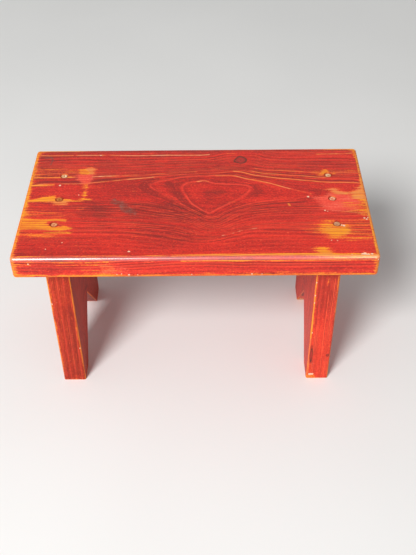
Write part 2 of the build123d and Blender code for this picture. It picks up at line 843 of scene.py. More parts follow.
@dataclass(frozen=True)
class WornRedStain:
    """Red stain over softwood: dark lines along the growth rings, worn through in places."""

    name: str
    along: Axis  # which way the grain runs
    seed: float
    deep: Triple = (148, 35, 28)
    body: Triple = (202, 41, 31)
    bright: Triple = (235, 56, 40)
    line: Triple = (104, 32, 26)  # dark lines
    gleam: Triple = (240, 81, 49)  # thin lines of lighter stain
    lines_per_ring: float = 2.3
    line_strength: float = 0.92
    banding: float = 1.0  # how strong the broad bands along the grain are
    lit_crest: Triple = (244, 72, 52)
    thin: Triple = (236, 88, 42)  # stain about to wear through
    wood_line: Triple = (200, 66, 36)  # stain left in the grain of bare wood
    chip_rim: Triple = (232, 124, 66)
    chip_heart: Triple = (240, 206, 178)
    rosy_tones: Ramp = ((0.35, (238, 74, 56)), (0.5, (251, 90, 70)), (0.68, (255, 126, 98)))
    crest_tones: Ramp = (
        (0.0, (236, 88, 44)), (0.35, (242, 136, 62)), (0.75, (236, 166, 112)), (1.0, (244, 208, 174)),
    )
    wood_tones: Ramp = (
        (0.0, (242, 128, 46)), (0.35, (255, 168, 36)), (0.7, (240, 148, 80)), (1.0, (238, 114, 76)),
    )
    smudge_tones: Ramp = ((0.35, (92, 52, 40)), (0.5, (110, 72, 58)), (0.68, (126, 102, 92)))
    knot_tones: Ramp = (
        (0.0, (120, 44, 32)), (0.07, (78, 46, 32)), (0.20, (100, 46, 34)),
        (0.32, (156, 44, 37)), (0.75, (178, 50, 43)), (1.0, (128, 38, 34)),
    )
    # Dirt round the screw heads, and painted shade on the walls of their holes
    dirt_and_shade_tones: Ramp = ((0.38, (134, 42, 28)), (0.52, (182, 66, 38)), (0.66, (222, 112, 58)))
    relief: float = 0.0005  # depth of the fine relief, in metres

    def build(self) -> bpy.types.Material:
        """Makes the material."""
        return StainLayers(self).material()


class StainLayers:
    """The layers of a worn red stain, laid one over another on the nodes of its material."""

    def __init__(self, stain: WornRedStain) -> None:
        """Reads the mesh's channels and makes the noises that several layers share.

        Args:
            stain: The finish.
        """
        self.stain = stain
        self.s = s = NodeSheet.blank(stain.name)
        self.ring, self.slope = s.attribute("ring"), s.attribute("slope")
        self.warped = s.stir(self.ring, (self.noise(9.0, 60.0, 0.0, 2.0, 0.5), 0.35))
        self.fibre = self.noise(14.0, 620.0, 5.0, 3.0, 0.65)
        self.torn = self.noise(26.0, 260.0, 21.0)
        self.speck = self.noise(330.0, 460.0, 25.0, 3.0, 0.65)
        self.fine_comb = self.comb(stain.lines_per_ring * 1.9, 0.4, 0.6, 0.2)

    def noise(
        self, long: float, across: float, shift: float, detail: float = 3.0, rough: float = 0.6
    ) -> Socket:
        """Noise drawn out along the grain.

        Args:
            long: Features in a metre along the grain.
            across: Features in a metre across it.
            shift: Offset, so that no two of them are alike.
            detail: Finer layers.
            rough: How strong they are.

        Returns:
            Numbers about 0.5.
        """
        scale = tuple(long if i == self.stain.along.value else across for i in range(3))
        at = self.stain.seed + shift
        return self.s.noise(self.s.place(scale, (at, at * 1.7, at * 0.6)), detail, rough)

    def blotches(self, often: float, shift: float, detail: float = 2.0, rough: float = 0.5) -> Socket:
        """Noise that is alike in every direction.

        Args:
            often: Features in a metre.
            shift: Offset, so that no two of them are alike.
            detail: Finer layers.
            rough: How strong they are.

        Returns:
            Numbers about 0.5.
        """
        place = self.s.place((often,) * 3, (self.stain.seed + shift,) * 3)
        return self.s.noise(place, detail, rough)

    def comb(self, often: float, phase: float, outer: float, inner: float) -> Socket:
        """Thin lines along the rings, each of its own strength.

        Args:
            often: Lines in a ring.
            phase: Shift, so that two combs differ.
            outer: Half width of a line at its foot, in mm.
            inner: Half width at its crown.

        Returns:
            How strong, 0 to 1.
        """
        s = self.s
        count = s.total(phase, (self.warped, often))
        chance = s.add("ShaderNodeTexWhiteNoise", noise_dimensions="1D")
        s.feed(chance.inputs["W"], s.math("FLOOR", count))
        away = s.math("ABSOLUTE", s.math("SUBTRACT", s.math("FRACT", count), 0.5))
        apart = s.math("DIVIDE", 1.0 / often, self.slope)
        gap = s.times(away, s.larger(apart, 3.0))
        return s.times(s.step(gap, outer, inner), s.step(chance.outputs["Value"], 0.12, 0.75))

    def off_ring(self, ring: Socket) -> Socket:
        """How far a ring number is from the nearest whole one."""
        return self.s.math("SUBTRACT", ring, self.s.math("ROUND", ring))

    def packed(self, low: float, high: float) -> Socket:
        """Where the rings lie close, eased from low to high, and the board has its lines."""
        lined = self.s.math("SUBTRACT", 1.0, self.s.attribute("plain"))
        return self.s.times(self.s.step(self.slope, low, high), lined)

    def material(self) -> bpy.types.Material:
        """Lays every layer in turn.

        Returns:
            The material.
        """
        s, stain = self.s, self.stain
        dark = self.dark_lines()
        colour = self.bright_lines(self.red())
        colour = s.lay(colour, dark, stain.line_strength, linear(*stain.line))
        colour = self.crests(self.rosy(colour))
        colour, bare = self.bare_wood(colour, dark)
        for layer in (self.smudges, self.knots, self.chips, self.screw_rims_and_shade):
            colour = layer(colour)
        self.glaze()
        sunk = s.step(s.attribute("screw"), 7.6, 6.8)
        polish = s.attribute("polish")
        roughness = s.total(0.40, (self.fibre, 0.16), (bare, 0.10), (polish, -0.22), (sunk, 0.5))
        height = s.total(0.0, (self.fibre, 0.6), (dark, -0.35), (bare, -0.3), (self.speck, 0.25))
        return s.finish(colour, roughness, height, stain.relief)

    def glaze(self) -> None:
        """Adds a hard gloss where hands and cloths have polished an arris."""
        inputs = self.s.shader.inputs
        self.s.feed(inputs["Coat Weight"], self.s.attribute("polish"))
        for name, value in (("Coat Roughness", 0.30), ("Coat IOR", 2.3), ("Specular IOR Level", 0.24)):
            inputs[name].default_value = value

    def red(self) -> Socket:
        """The stain itself: broad patches, bands along the rings, fine fibres and specks.

        Returns:
            The colour.
        """
        s, stain = self.s, self.stain
        clear = s.total(1.0, (s.attribute("plain"), -0.75))
        packed = s.times(s.step(self.slope, 0.006, 0.03), s.times(clear, stain.banding))
        value = s.total(0.50, (self.halo(), -0.20))
        for share, often in ((0.30, 1.7), (0.50, 5.5)):
            band = s.times(s.math("SUBTRACT", s.bands(self.warped, often), 0.5), packed)
            value = s.total(value, (band, share))
        broad = self.noise(7.0, 22.0, 3.0, 3.0, 0.55)
        streak = self.noise(12.0, 150.0, 9.0, 2.0, 0.5)
        mottle = self.noise(140.0, 330.0, 27.0, 2.0, 0.6)
        value = s.stir(value, (broad, 0.34), (streak, 0.40 * stain.banding))
        value = s.stir(value, (self.fibre, 0.45), (self.speck, 1.0), (mottle, 0.55))
        # Shade and glow darken or lighten the stain; on the seat's front face the glow is painted light
        value = s.total(value, (s.attribute("shade"), -0.30), (s.attribute("glow"), 0.24))
        return s.ramp(value, ((0.22, stain.deep), (0.52, stain.body), (0.82, stain.bright)))

    def halo(self) -> Socket:
        """Darker bands that follow the outer side of each ring of the eye.

        Returns:
            How dark, 0 to 1.
        """
        s = self.s
        off = self.off_ring(self.warped)
        band = s.times(s.step(off, 0.03, 0.14), s.step(off, 0.46, 0.26))
        return s.times(band, s.step(self.slope, 0.06, 0.035))

    def dark_lines(self) -> Socket:
        """Dark lines, a few to a ring, broken along their length and faint where the red is clean.

        Returns:
            How dark, 0 to 1.
        """
        s, stain = self.s, self.stain
        packed = self.packed(0.02, 0.06)
        broken = s.step(self.noise(22.0, 170.0, 13.0), 0.36, 0.56)
        wide = self.comb(stain.lines_per_ring, 0.0, 1.0, 0.35)
        lines = s.larger(wide, s.times(self.fine_comb, 0.9))
        soft = s.step(s.bands(self.warped, 2.6), 0.47, 0.34)
        soft = s.times(soft, s.times(packed, 0.35 * stain.banding))
        return s.larger(s.times(s.times(lines, packed), broken), soft)

    def bright_lines(self, colour: Socket) -> Socket:
        """Lays thin lines of lighter orange red between the dark ones.

        Args:
            colour: The colour so far.

        Returns:
            The colour with the lines.
        """
        s, stain = self.s, self.stain
        often = s.total(self.noise(18.0, 120.0, 15.0), (s.attribute("glow"), 0.10))
        lines = s.times(self.comb(stain.lines_per_ring, 0.5, 1.1, 0.4), self.packed(0.03, 0.08))
        return s.lay(colour, s.times(lines, s.step(often, 0.44, 0.60)), 0.9, linear(*stain.gleam))

    def rosy(self, colour: Socket) -> Socket:
        """Lays on thin stain that lets the wood through as a rosy red.

        Args:
            colour: The colour so far.

        Returns:
            The colour with the thin stain.
        """
        s = self.s
        cover = s.stir(s.attribute("rose"), (self.torn, 0.9), (self.speck, 0.7))
        tint = s.ramp(s.stir(self.torn, (self.speck, 0.8)), self.stain.rosy_tones)
        return s.lay(colour, s.step(cover, 0.10, 0.90), 0.85, tint)

    def crests(self, colour: Socket) -> Socket:
        """Makes the crests of the rings brighter, and rubs them through where the mesh says so.

        Args:
            colour: The colour so far.

        Returns:
            The colour with the crests.
        """
        s, stain = self.s, self.stain
        gap = s.math("DIVIDE", s.math("ABSOLUTE", self.off_ring(self.ring)), self.slope)
        patchy = self.noise(70.0, 380.0, 17.0)
        ragged = s.stir(gap, (patchy, 3.4))
        faded = s.step(self.noise(50.0, 60.0, 19.0, 2.0, 0.5), 0.32, 0.58)
        lit = s.total(s.times(s.step(self.slope, 0.17, 0.13), 0.3), (s.attribute("crest"), 0.5))
        lit = s.times(lit, s.total(0.35, (faded, 0.65)))
        colour = s.mix(s.times(s.step(ragged, 3.4, 0.0), lit), colour, linear(*stain.lit_crest))
        rubbed = s.step(s.stir(s.attribute("crest"), (patchy, 1.9)), 0.28, 0.85)
        rubbed = s.times(rubbed, s.step(s.attribute("cream"), 0.0, 0.08))
        pale = s.ramp(s.stir(s.attribute("cream"), (patchy, 1.4)), stain.crest_tones)
        return s.mix(s.times(s.step(ragged, 1.6, 0.5), rubbed), colour, pale)

    def bare_wood(self, colour: Socket, dark: Socket) -> tuple[Socket, Socket]:
        """Lays on bare patches and worn arrises, with borders torn along the grain.

        Args:
            colour: The colour so far.
            dark: The dark lines.

        Returns:
            The colour with the bare wood, and how bare it is.
        """
        s, stain = self.s, self.stain
        grain = s.times(self.comb(stain.lines_per_ring, 0.0, 0.9, 0.3), s.step(self.slope, 0.03, 0.08))
        grain = s.larger(dark, s.times(s.larger(grain, self.fine_comb), 0.8))
        worn = s.stir(s.attribute("bare"), (self.torn, 1.2), (self.fibre, 1.1), (self.speck, 0.8))
        worn = s.total(worn, (grain, -0.42))
        wood = s.ramp(s.stir(s.attribute("tone"), (self.torn, 0.8), (self.speck, 0.5)), stain.wood_tones)
        lines = s.larger(grain, s.times(s.step(self.fibre, 0.48, 0.32), 0.9))
        wood = s.lay(wood, lines, 0.8, linear(*stain.wood_line))
        bare = s.step(worn, 0.40, 0.74)
        colour = s.lay(colour, s.step(worn, 0.14, 0.50), 0.8, linear(*stain.thin))
        return s.lay(colour, bare, 0.96, wood), bare

    def smudges(self, colour: Socket) -> Socket:
        """Lays on brownish grey smudges and scratches, blotchy, with the red showing through.

        Args:
            colour: The colour so far.

        Returns:
            The colour with the smudges.
        """
        s = self.s
        blotch = self.blotches(150.0, 33.0, 3.0, 0.6)
        cover = s.stir(s.attribute("grey"), (blotch, 1.3), (self.torn, 0.6), (self.speck, 0.8))
        return s.lay(colour, s.step(cover, 0.15, 1.05), 0.66, s.ramp(blotch, self.stain.smudge_tones))

    def knots(self, colour: Socket) -> Socket:
        """Lays on the knots. The knot attribute is 0 at the rim and 1 at the heart.

        Args:
            colour: The colour so far.

        Returns:
            The colour with the knots.
        """
        s = self.s
        knot = s.stir(s.attribute("knot"), (self.speck, 0.4), (self.blotches(110.0, 45.0), 0.45))
        return s.lay(colour, s.step(knot, -0.08, 0.04), 0.92, s.ramp(knot, self.stain.knot_tones))

    def chips(self, colour: Socket) -> Socket:
        """Lays on the chips, with a rim of thin stain round pale wood.

        Args:
            colour: The colour so far.

        Returns:
            The colour with the chips.
        """
        s = self.s
        chip = s.stir(s.attribute("chip"), (self.speck, 1.7))
        colour = s.lay(colour, s.step(chip, 0.22, 0.42), 0.7, linear(*self.stain.chip_rim))
        return s.lay(colour, s.step(chip, 0.44, 0.62), 0.9, linear(*self.stain.chip_heart))

    def screw_rims_and_shade(self, colour: Socket) -> Socket:
        """Lays old stain and dirt round the screw heads, and dirt with painted shade down in their holes.

        Args:
            colour: The colour so far.

        Returns:
            The colour with the rims.
        """
        s = self.s
        patch = self.blotches(90.0, 41.0)
        away = s.stir(s.attribute("screw"), (self.speck, 2.0), (patch, 5.0))
        # Painted shade and dirt: the walls of the countersinks take the dirt colours all round, darkened
        # like a recess in shade.
        dirt_and_shade_wall = s.step(s.attribute("screw"), 7.0, 6.4)
        rim = s.larger(s.step(away, 7.2, 6.2), dirt_and_shade_wall)
        return s.lay(colour, rim, 0.85, s.ramp(patch, self.stain.dirt_and_shade_tones))


@dataclass(frozen=True)
class StainedSteel:
    """Dull screw heads with old stain and dirt in them."""

    name: str
    body: Triple
    patch: Triple
    seed: float
    dirt: Triple = (124, 70, 46)
    stain: Triple = (158, 58, 34)
    rim: float = 4.0  # how far from the middle the old stain begins, mm
    relief: float = 0.0002  # depth of the fine relief, in metres

    def build(self, x: float, y: float) -> bpy.types.Material:
        """Makes the material.

        Args:
            x: X of the screw, in mm.
            y: Y of the screw, in mm.

        Returns:
            The material.
        """
        s = NodeSheet.blank(self.name)
        cloud = s.noise(s.place((260.0,) * 3, (self.seed,) * 3), 3.0, 0.6)
        grit = s.noise(s.place((1500.0,) * 3, (self.seed + 4.0,) * 3), 2.0, 0.6)
        colour = s.mix(s.step(cloud, 0.42, 0.60), linear(*self.body), linear(*self.patch))
        colour = s.lay(colour, s.step(grit, 0.5, 0.75), 0.4, linear(*self.dirt))
        out = s.add("ShaderNodeVectorMath", operation="LENGTH")
        s.feed(out.inputs[0], s.place((1.0 / MM, 1.0 / MM, 0.0), (-x, -y, 0.0)))
        stained = s.step(s.stir(out.outputs["Value"], (cloud, 4.0)), self.rim, self.rim + 1.0)
        colour = s.lay(colour, stained, 0.85, linear(*self.stain))
        s.shader.inputs["Specular IOR Level"].default_value = 0.3
        s.shader.inputs["Metallic"].default_value = 0.12
        return s.finish(colour, s.total(0.60, (cloud, 0.3)), grit, self.relief)


@dataclass(frozen=True)
class PaleGround:
    """Plain pale studio floor."""

    name: str = "pale_ground"
    light: Triple = (236, 236, 234)
    dim: Triple = (232, 232, 230)
    clouds: float = 1.5  # soft changes of tone in a metre

    def build(self) -> bpy.types.Material:
        """Makes the material.

        Returns:
            The material.
        """
        s = NodeSheet.blank(self.name)
        cloud = s.noise(s.place((self.clouds,) * 3))
        colour = s.mix(s.step(cloud, 0.3, 0.7), linear(*self.dim), linear(*self.light))
        return s.finish(colour, 0.9)


# ---------------------------------------------------------------- boards


@dataclass(frozen=True)
class Arris:
    """A run of worn edges of a board: where the stain is rubbed off."""

    side: Side  # the face it is seen on
    toward: Side  # the edge of that face
    widths: Path2  # mean width of the wear at places along the edge, mm
    vary: float = 0.5  # how much the width changes by chance
    polish: float = 0.0
    tone: float = 0.12

    def run(self) -> int:
        """The axis along which the edge runs."""
        return 3 - self.side.value[0] - self.toward.value[0]


def evenly(side: Side, widths: dict[Side, float], vary: float = 0.6) -> tuple[Arris, ...]:
    """Wear of one mean width, in mm, all along each of some edges of a face."""
    return tuple(Arris(side, toward, ((0.0, width),), vary) for toward, width in widths.items())


@dataclass(frozen=True)
class Knot:
    """A knot in one face, drop-shaped when it has a tail."""

    side: Side
    centre: tuple[float, float]
    radii: tuple[float, float]
    tail: float = 0.0  # how far the drop's point stands out, as a share of the radius
    spread: float = 30.0  # half width of that point, in degrees
    wobble: float = 0.03  # how far the rim strays from an oval, as a share of the radius

    def depth_in(self, points: np.ndarray, normals: np.ndarray) -> np.ndarray:
        """How far inside the knot each vertex is.

        Args:
            points: N rows of three coordinates, in mm.
            normals: The N normals there.

        Returns:
            N values: 1 at the heart, 0 at the rim and less outside.
        """
        u, v = ((points[:, self.side.plane_axes()] - self.centre) / self.radii).T
        turn = np.degrees(np.arctan2(u, v))
        reach = 1.0 + self.tail * np.exp(-((turn / self.spread) ** 2))
        reach += self.wobble * np.cos(np.radians(4.0 * turn + 70.0))
        facing = normals[:, self.side.value[0]] * self.side.value[1] > 0.3
        return np.where(facing, np.maximum(1.0 - np.hypot(u, v) / reach, -1.0), -1.0)


@dataclass(frozen=True)
class Relief:
    """How far each kind of wear lowers the surface, in mm."""

    broad: float = 0.18  # slow unevenness
    fine: float = 0.10  # quick unevenness
    valley: float = 0.12  # between the crests of the rings
    bare: float = 0.22
    chip: float = 0.55
    knot: float = 0.25  # at the heart of a knot


@dataclass
class Board:
    """One plank: its shape, and everything that has happened to its surface."""

    node: str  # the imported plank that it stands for
    slot: str
    low: Triple  # corners of the plank, in mm
    high: Triple
    rings: SeatRings | UprightRings
    stain: WornRedStain
    marks: tuple[Mark, ...] = ()
    arrises: tuple[Arris, ...] = ()
    chips: tuple[tuple[Side, float, float, float], ...] = ()  # face, two places, radius
    knots: tuple[Knot, ...] = ()
    screws: tuple[tuple[float, float], ...] = ()  # X and Y of the screws whose heads lie in it
    seed: int = 1
    relief: Relief = Relief()
    crisp: float = 40.0  # edges sharper than this are not shaded smooth, degrees
    piece: Workpiece = field(init=False)

    def __post_init__(self) -> None:
        """Starts from a block in the plank's place."""
        self.piece = Workpiece.block(f"worn_{self.node}", self.low, self.high)

    def slopes(self, points: np.ndarray, normals: np.ndarray, ring: np.ndarray) -> np.ndarray:
        """How fast the ring number changes along the surface.

        Args:
            points: N places in mm.
            normals: The N normals.
            ring: The N ring numbers.

        Returns:
            N rates, in rings for each mm.
        """
        reach = 0.4  # mm
        slowest = 0.004
        steps = reach * np.eye(3)
        rate = np.stack([(self.rings.ring(points + step) - ring) / reach for step in steps], axis=1)
        rate -= (rate * normals).sum(1, keepdims=True) * normals
        return np.maximum(np.linalg.norm(rate, axis=1), slowest)

    def from_edge(self, points: np.ndarray, toward: Side) -> np.ndarray:
        """Distance of each place from one side of the board, in mm."""
        axis, sign = toward.value
        return (self.high[axis] - points[:, axis]) if sign > 0 else (points[:, axis] - self.low[axis])

    def wear(self, points: np.ndarray, normals: np.ndarray) -> dict[str, np.ndarray]:
        """Works out every channel of the finish.

        Args:
            points: N places in mm.
            normals: The N normals.

        Returns:
            The channels by name.
        """
        count = len(points)
        far = 40.0  # mm, stands for every greater distance from a screw
        names = [channel.value for channel in Channel] + ["polish"]
        out = {name: np.zeros(count) for name in names}
        gaps = [np.hypot(points[:, 0] - x, points[:, 1] - y) for x, y in self.screws]
        out["screw"] = np.minimum.reduce([np.full(count, far), *gaps])
        self._rub_arrises(out, points, normals)
        self._lay_marks(out, points, normals)
        depths = [knot.depth_in(points, normals) for knot in self.knots]
        out["knot"] = np.maximum.reduce([np.full(count, -1.0), *depths])
        return out

    def _rub_arrises(self, out: dict[str, np.ndarray], points: np.ndarray, normals: np.ndarray) -> None:
        """Adds the bare wood, its tone and the polish of the worn arrises.

        Args:
            out: The channels so far.
            points: N places in mm.
            normals: The N normals.
        """
        noise = LatticeNoise(self.seed)
        ragged = noise.at(points, 31.0) * 0.6 + noise.at(points, 9.0) * 0.4
        clear = smooth(out["screw"], 6.7, 7.4)
        for arris in self.arrises:
            facing = arris.side.faced(normals, 0.15, 0.5) * clear
            width = np.interp(points[:, arris.run()], *np.array(arris.widths).T)
            width = width * (1.0 + arris.vary * (ragged * 2.0 - 1.0) * 1.6)
            away = self.from_edge(points, arris.toward)
            close = facing * smooth(away, width * 1.5, width * 0.2)
            out["bare"] = np.maximum(out["bare"], 0.85 * close)
            out["tone"] += (arris.tone - out["tone"]) * smooth(close, 0.0, 0.2)
            out["polish"] = np.maximum(out["polish"], arris.polish * facing * smooth(away, 7.0, 2.0))

    def _lay_marks(self, out: dict[str, np.ndarray], points: np.ndarray, normals: np.ndarray) -> None:
        """Adds the marks and the chips.

        Args:
            out: The channels so far.
            points: N places in mm.
            normals: The N normals.
        """
        spots = [Mark(side, Channel.CHIP, ((u, v),), radius * 1.5) for side, u, v, radius in self.chips]
        for mark in (*self.marks, *spots):
            weight = mark.weight(points, normals)
            name = mark.channel.value
            out[name] = np.maximum(out[name], weight * mark.strength)
            if mark.tone is not None:
                key = "cream" if mark.channel is Channel.CREST else "tone"
                out[key] += (mark.tone - out[key]) * smooth(weight, 0.0, 0.2)

    def weather(self) -> None:
        """Writes the finish's channels on the mesh and wears its surface down to match."""
        points, normals = self.piece.points(), self.piece.normals()
        ring = self.rings.ring(points)
        slope = self.slopes(points, normals, ring)
        channels = self.wear(points, normals)
        noise, relief = LatticeNoise(self.seed + 50), self.relief
        dips = relief.broad * noise.at(points, 70.0) + relief.fine * noise.at(points, 6.0)
        dips += relief.valley * smooth(abs(ring - np.round(ring)) / slope, 0.6, 2.2)
        dips += relief.bare * channels["bare"] + relief.chip * channels["chip"]
        dips += relief.knot * (channels["knot"] > 0.75)
        self.piece.move_to(points - normals * dips[:, None])
        for name, values in {"ring": ring, "slope": slope, **channels}.items():
            self.piece.write(name, values)

    def refine_details(self) -> None:
        """Gives the mesh finer faces at the chips and knots, and a little round them."""
        centres = self.piece.face_centres()
        chosen = np.zeros(len(centres), bool)
        spots = [(side, u, v, radius * 1.6 + 1.0) for side, u, v, radius in self.chips]
        spots += [(knot.side, *knot.centre, max(knot.radii) * 1.4) for knot in self.knots]
        for side, u, v, reach in spots:
            flat = distance_to_path(centres[:, side.plane_axes()], ((u, v),)) < reach
            chosen |= flat & (abs(self.from_edge(centres, side)) < 4.0)
        if chosen.any():
            self.piece.split(Element.FACES, chosen, 3)

    def dress(self) -> None:
        """Wears the shaped piece and gives it its finish and its place in the part."""
        self.refine_details()
        self.weather()
        obj = self.piece.obj
        obj.data.materials.clear()
        obj.data.materials.append(self.stain.build())
        self.piece.smooth_shading(self.crisp)
        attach(obj, "root")
        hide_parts(self.node)
        log.info("%s: %d faces, replaces %s", obj.name, len(obj.data.polygons), self.node)


@dataclass
class ScrewRow:
    """One row of screws over an end board: places, sizes of their holes, and finishes."""

    x: float
    ys: tuple[float, float, float]
    nodes: tuple[str, str, str]
    finishes: tuple[StainedSteel, StainedSteel, StainedSteel]
    mouth: float = 6.6  # radius of the countersink at the surface
    bore: float = 2.75  # radius of the hole below it
    bore_depth: float = 40.0  # from the surface, past the underside of the seat board
    pilot: float = 2.5  # radius of the hole in the end board
    pilot_depth: float = 39.2
    spare: float = 1.0  # how far a cutter stands out of the wood

    def places(self) -> Path2:
        """X and Y of each screw."""
        return tuple((self.x, y) for y in self.ys)

    def countersinks(self, surface: float) -> Workpiece:
        """Cutters for the countersunk holes through the seat board.

        Args:
            surface: Height of the sitting surface, in mm.

        Returns:
            The three as one piece.
        """
        depth, bore, cone = self.bore_depth, self.bore, self.mouth - self.bore
        steps = ((depth - cone, bore), (cone + self.spare, self.mouth + self.spare))
        return self._spread(Workpiece.turned("countersink", surface, depth, bore, 40, steps))

    def pilot_holes(self, top: float) -> Workpiece:
        """Cutters for the holes in the end board.

        Args:
            top: Height of the end board's top, in mm.

        Returns:
            The three as one piece.
        """
        depth = self.pilot_depth
        steps = ((depth + self.spare, None),)
        return self._spread(Workpiece.turned("pilot", top, depth, self.pilot, 24, steps))

    def _spread(self, cutter: Workpiece) -> Workpiece:
        """Copies a cutter to the three places of the row.

        Args:
            cutter: The cutter at X and Y of 0.

        Returns:
            The three as one piece.
        """
        copies = []
        for x, y in self.places():
            copy = cutter.obj.copy()
            copy.data = cutter.obj.data.copy()
            copy.data.transform(Matrix.Translation((x * MM, y * MM, 0.0)))
            bpy.context.scene.collection.objects.link(copy)
            copies.append(copy)
        bpy.data.objects.remove(cutter.obj)
        bpy.ops.object.select_all(action="DESELECT")
        for copy in copies:
            copy.select_set(True)
        bpy.context.view_layer.objects.active = copies[0]
        bpy.ops.object.join()
        return Workpiece(bpy.context.object)

    def dress(self) -> None:
        """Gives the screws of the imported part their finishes."""
        for node, finish, (x, y) in zip(self.nodes, self.finishes, self.places()):
            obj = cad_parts[node]
            obj.data.materials.clear()
            obj.data.materials.append(finish.build(x, y))
            log.info("%s: finish %s", node, finish.name)


@dataclass
class SeatBoard(Board):
    """The seat: a plank laid flat, with two rows of countersunk holes."""

    corner_radius: float = 6.0
    top_radius: float = 4.0
    bottom_radius: float = 3.0
    cell: float = 2.2  # size of the mesh's faces
    lengths: int = 4  # equal lengths that the mesh is laid out in along X

    def build(self, rows: Sequence[ScrewRow]) -> None:
        """Shapes the board, drills it and wears it.

        Args:
            rows: The rows of screws.
        """
        (x0, y0, z0), (x1, y1, z1) = self.low, self.high
        piece = self.piece
        a, b = piece.edge_ends()[:, :, 2]
        piece.round_edges(~near(a, b), self.corner_radius, 5)
        for level, radius, segments in ((z1, self.top_radius, 4), (z0, self.bottom_radius, 3)):
            a, b = piece.edge_ends()[:, :, 2]
            piece.round_edges(near(a, level) & near(b, level), radius, segments)
        inset = self.corner_radius
        quarter = (x1 - x0 - 2 * inset) / self.lengths
        xs = [x0 + inset + quarter * i for i in range(self.lengths + 1)]
        ys = [y0 + inset, 0.0, y1 - inset]
        piece.cut(Axis.X, xs)
        piece.cut(Axis.Y, ys)
        zs = [z0 + self.bottom_radius, z1 - self.top_radius]
        for axis, stops in ((Axis.X, xs), (Axis.Y, ys), (Axis.Z, zs)):
            for low, high in zip(stops[:-1], stops[1:]):
                piece.divide(axis, low, high, self.cell)
        for row in rows:
            piece.carve(row.countersinks(z1))
        self.dress()


@dataclass
class EndBoard(Board):
    """An upright board with a V cut in its foot."""

    foot: float = 38.0  # width of each foot at the floor
    notch: float = 100.0  # height of the V
    edge_radius: float = 3.0
    break_radius: float = 1.0  # broken edge of the V
    middle_line: float = 130.0  # a row of faces above the V
    cell: float = 2.5  # size of the mesh's faces

    def build(self, row: ScrewRow) -> None:
        """Shapes the board, drills it and wears it.

        Args:
            row: The row of screws that goes into it.
        """
        (x0, y0, z0), (x1, y1, z1) = self.low, self.high
        centre = (y0 + y1) / 2
        piece = self.piece
        piece.cut(Axis.Y, (y0 + self.foot, centre, y1 - self.foot))
        a, b = piece.edge_ends()
        at_crown = [near(end[:, 1], centre) & near(end[:, 2], z0) for end in (a, b)]
        piece.select(Element.EDGES, at_crown[0] & at_crown[1])
        bpy.ops.transform.translate(value=(0.0, 0.0, self.notch * MM))
        piece.done()
        a, b = piece.edge_ends()
        upright = (abs(a[:, 2] - b[:, 2]) > self.middle_line) & near(a[:, 0], b[:, 0])
        piece.round_edges(upright & self._at_either(Axis.Y, y0, y1), self.edge_radius, 4)
        piece.cut(Axis.X, (x0 + self.edge_radius, x1 - self.edge_radius))
        piece.cut(Axis.Y, (y0 + self.edge_radius, y1 - self.edge_radius))
        a, b = piece.edge_ends()
        in_notch = np.maximum(a[:, 2], b[:, 2]) < self.notch + 0.1
        sloping = in_notch & (abs(a[:, 1] - b[:, 1]) > self.notch / 2)
        piece.round_edges(sloping & self._at_either(Axis.X, x0, x1), self.break_radius, 2)
        self._lay_grid()
        piece.carve(row.pilot_holes(z1))
        self.dress()

    def _at_either(self, axis: Axis, low: float, high: float) -> np.ndarray:
        """Which edges lie wholly at one of two places along an axis.

        Args:
            axis: The axis.
            low: One place, in mm.
            high: The other.

        Returns:
            One truth value for each edge.
        """
        a, b = self.piece.edge_ends()[:, :, axis.value]
        return near(a, b) & (near(a, low) | near(a, high)) & (near(b, low) | near(b, high))

    def _lay_grid(self) -> None:
        """Divides the board's faces into cells."""
        (x0, y0, z0), (x1, y1, z1) = self.low, self.high
        piece = self.piece
        piece.cut(Axis.Z, (self.middle_line,))
        piece.divide(Axis.X, x0 + self.edge_radius, x1 - self.edge_radius, self.cell)
        piece.divide(Axis.Z, self.middle_line, z1, self.cell)
        a, b = piece.edge_ends()
        plumb = near(a[:, 0], b[:, 0]) & near(a[:, 1], b[:, 1]) & (abs(a[:, 2] - b[:, 2]) > 10.0)
        lower = np.maximum(a[:, 2], b[:, 2]) < self.middle_line + NEAR
        piece.split(Element.EDGES, plumb & lower, round(self.middle_line / self.cell))
        stops = (y0 + self.edge_radius, y0 + self.foot, (y0 + y1) / 2, y1 - self.foot, y1 - self.edge_radius)
        for low, high in zip(stops[:-1], stops[1:]):
            piece.divide(Axis.Y, low, high, self.cell)


# ---------------------------------------------------------------- camera and studio


@dataclass(frozen=True)
class Viewpoint:
    """Where the bench is looked at from."""

    place: Triple = (0.0251, -1.0711, 1.1063)
    heading: float = -0.3646  # degrees to the right of +Y
    dip: float = 42.3248  # degrees below level
    roll: float = -0.6649  # degrees
    lens: float = 54.292  # mm
    sensor: float = 36.0  # width of the picture in the camera, mm

    def build(self) -> None:
        """Makes the camera."""
        data = bpy.data.cameras.new("camera")
        data.sensor_width, data.lens = self.sensor, self.lens
        data.clip_start, data.clip_end = 0.05, 50.0
        camera = bpy.data.objects.new("camera", data)
        bpy.context.scene.collection.objects.link(camera)
        yaw, pitch, roll = (math.radians(a) for a in (self.heading, self.dip, self.roll))
        ahead = Vector((math.sin(yaw) * math.cos(pitch), math.cos(yaw) * math.cos(pitch), -math.sin(pitch)))
        level = Vector((math.cos(yaw), -math.sin(yaw), 0.0))
        above = level.cross(ahead)
        right = math.cos(roll) * level + math.sin(roll) * above
        up = math.cos(roll) * above - math.sin(roll) * level
        turn = Matrix((right, up, -ahead)).transposed().to_4x4()
        camera.matrix_world = Matrix.Translation(self.place) @ turn
        bpy.context.scene.camera = camera
        log.info("camera: lens %.2f mm, %.1f degrees down", self.lens, self.dip)


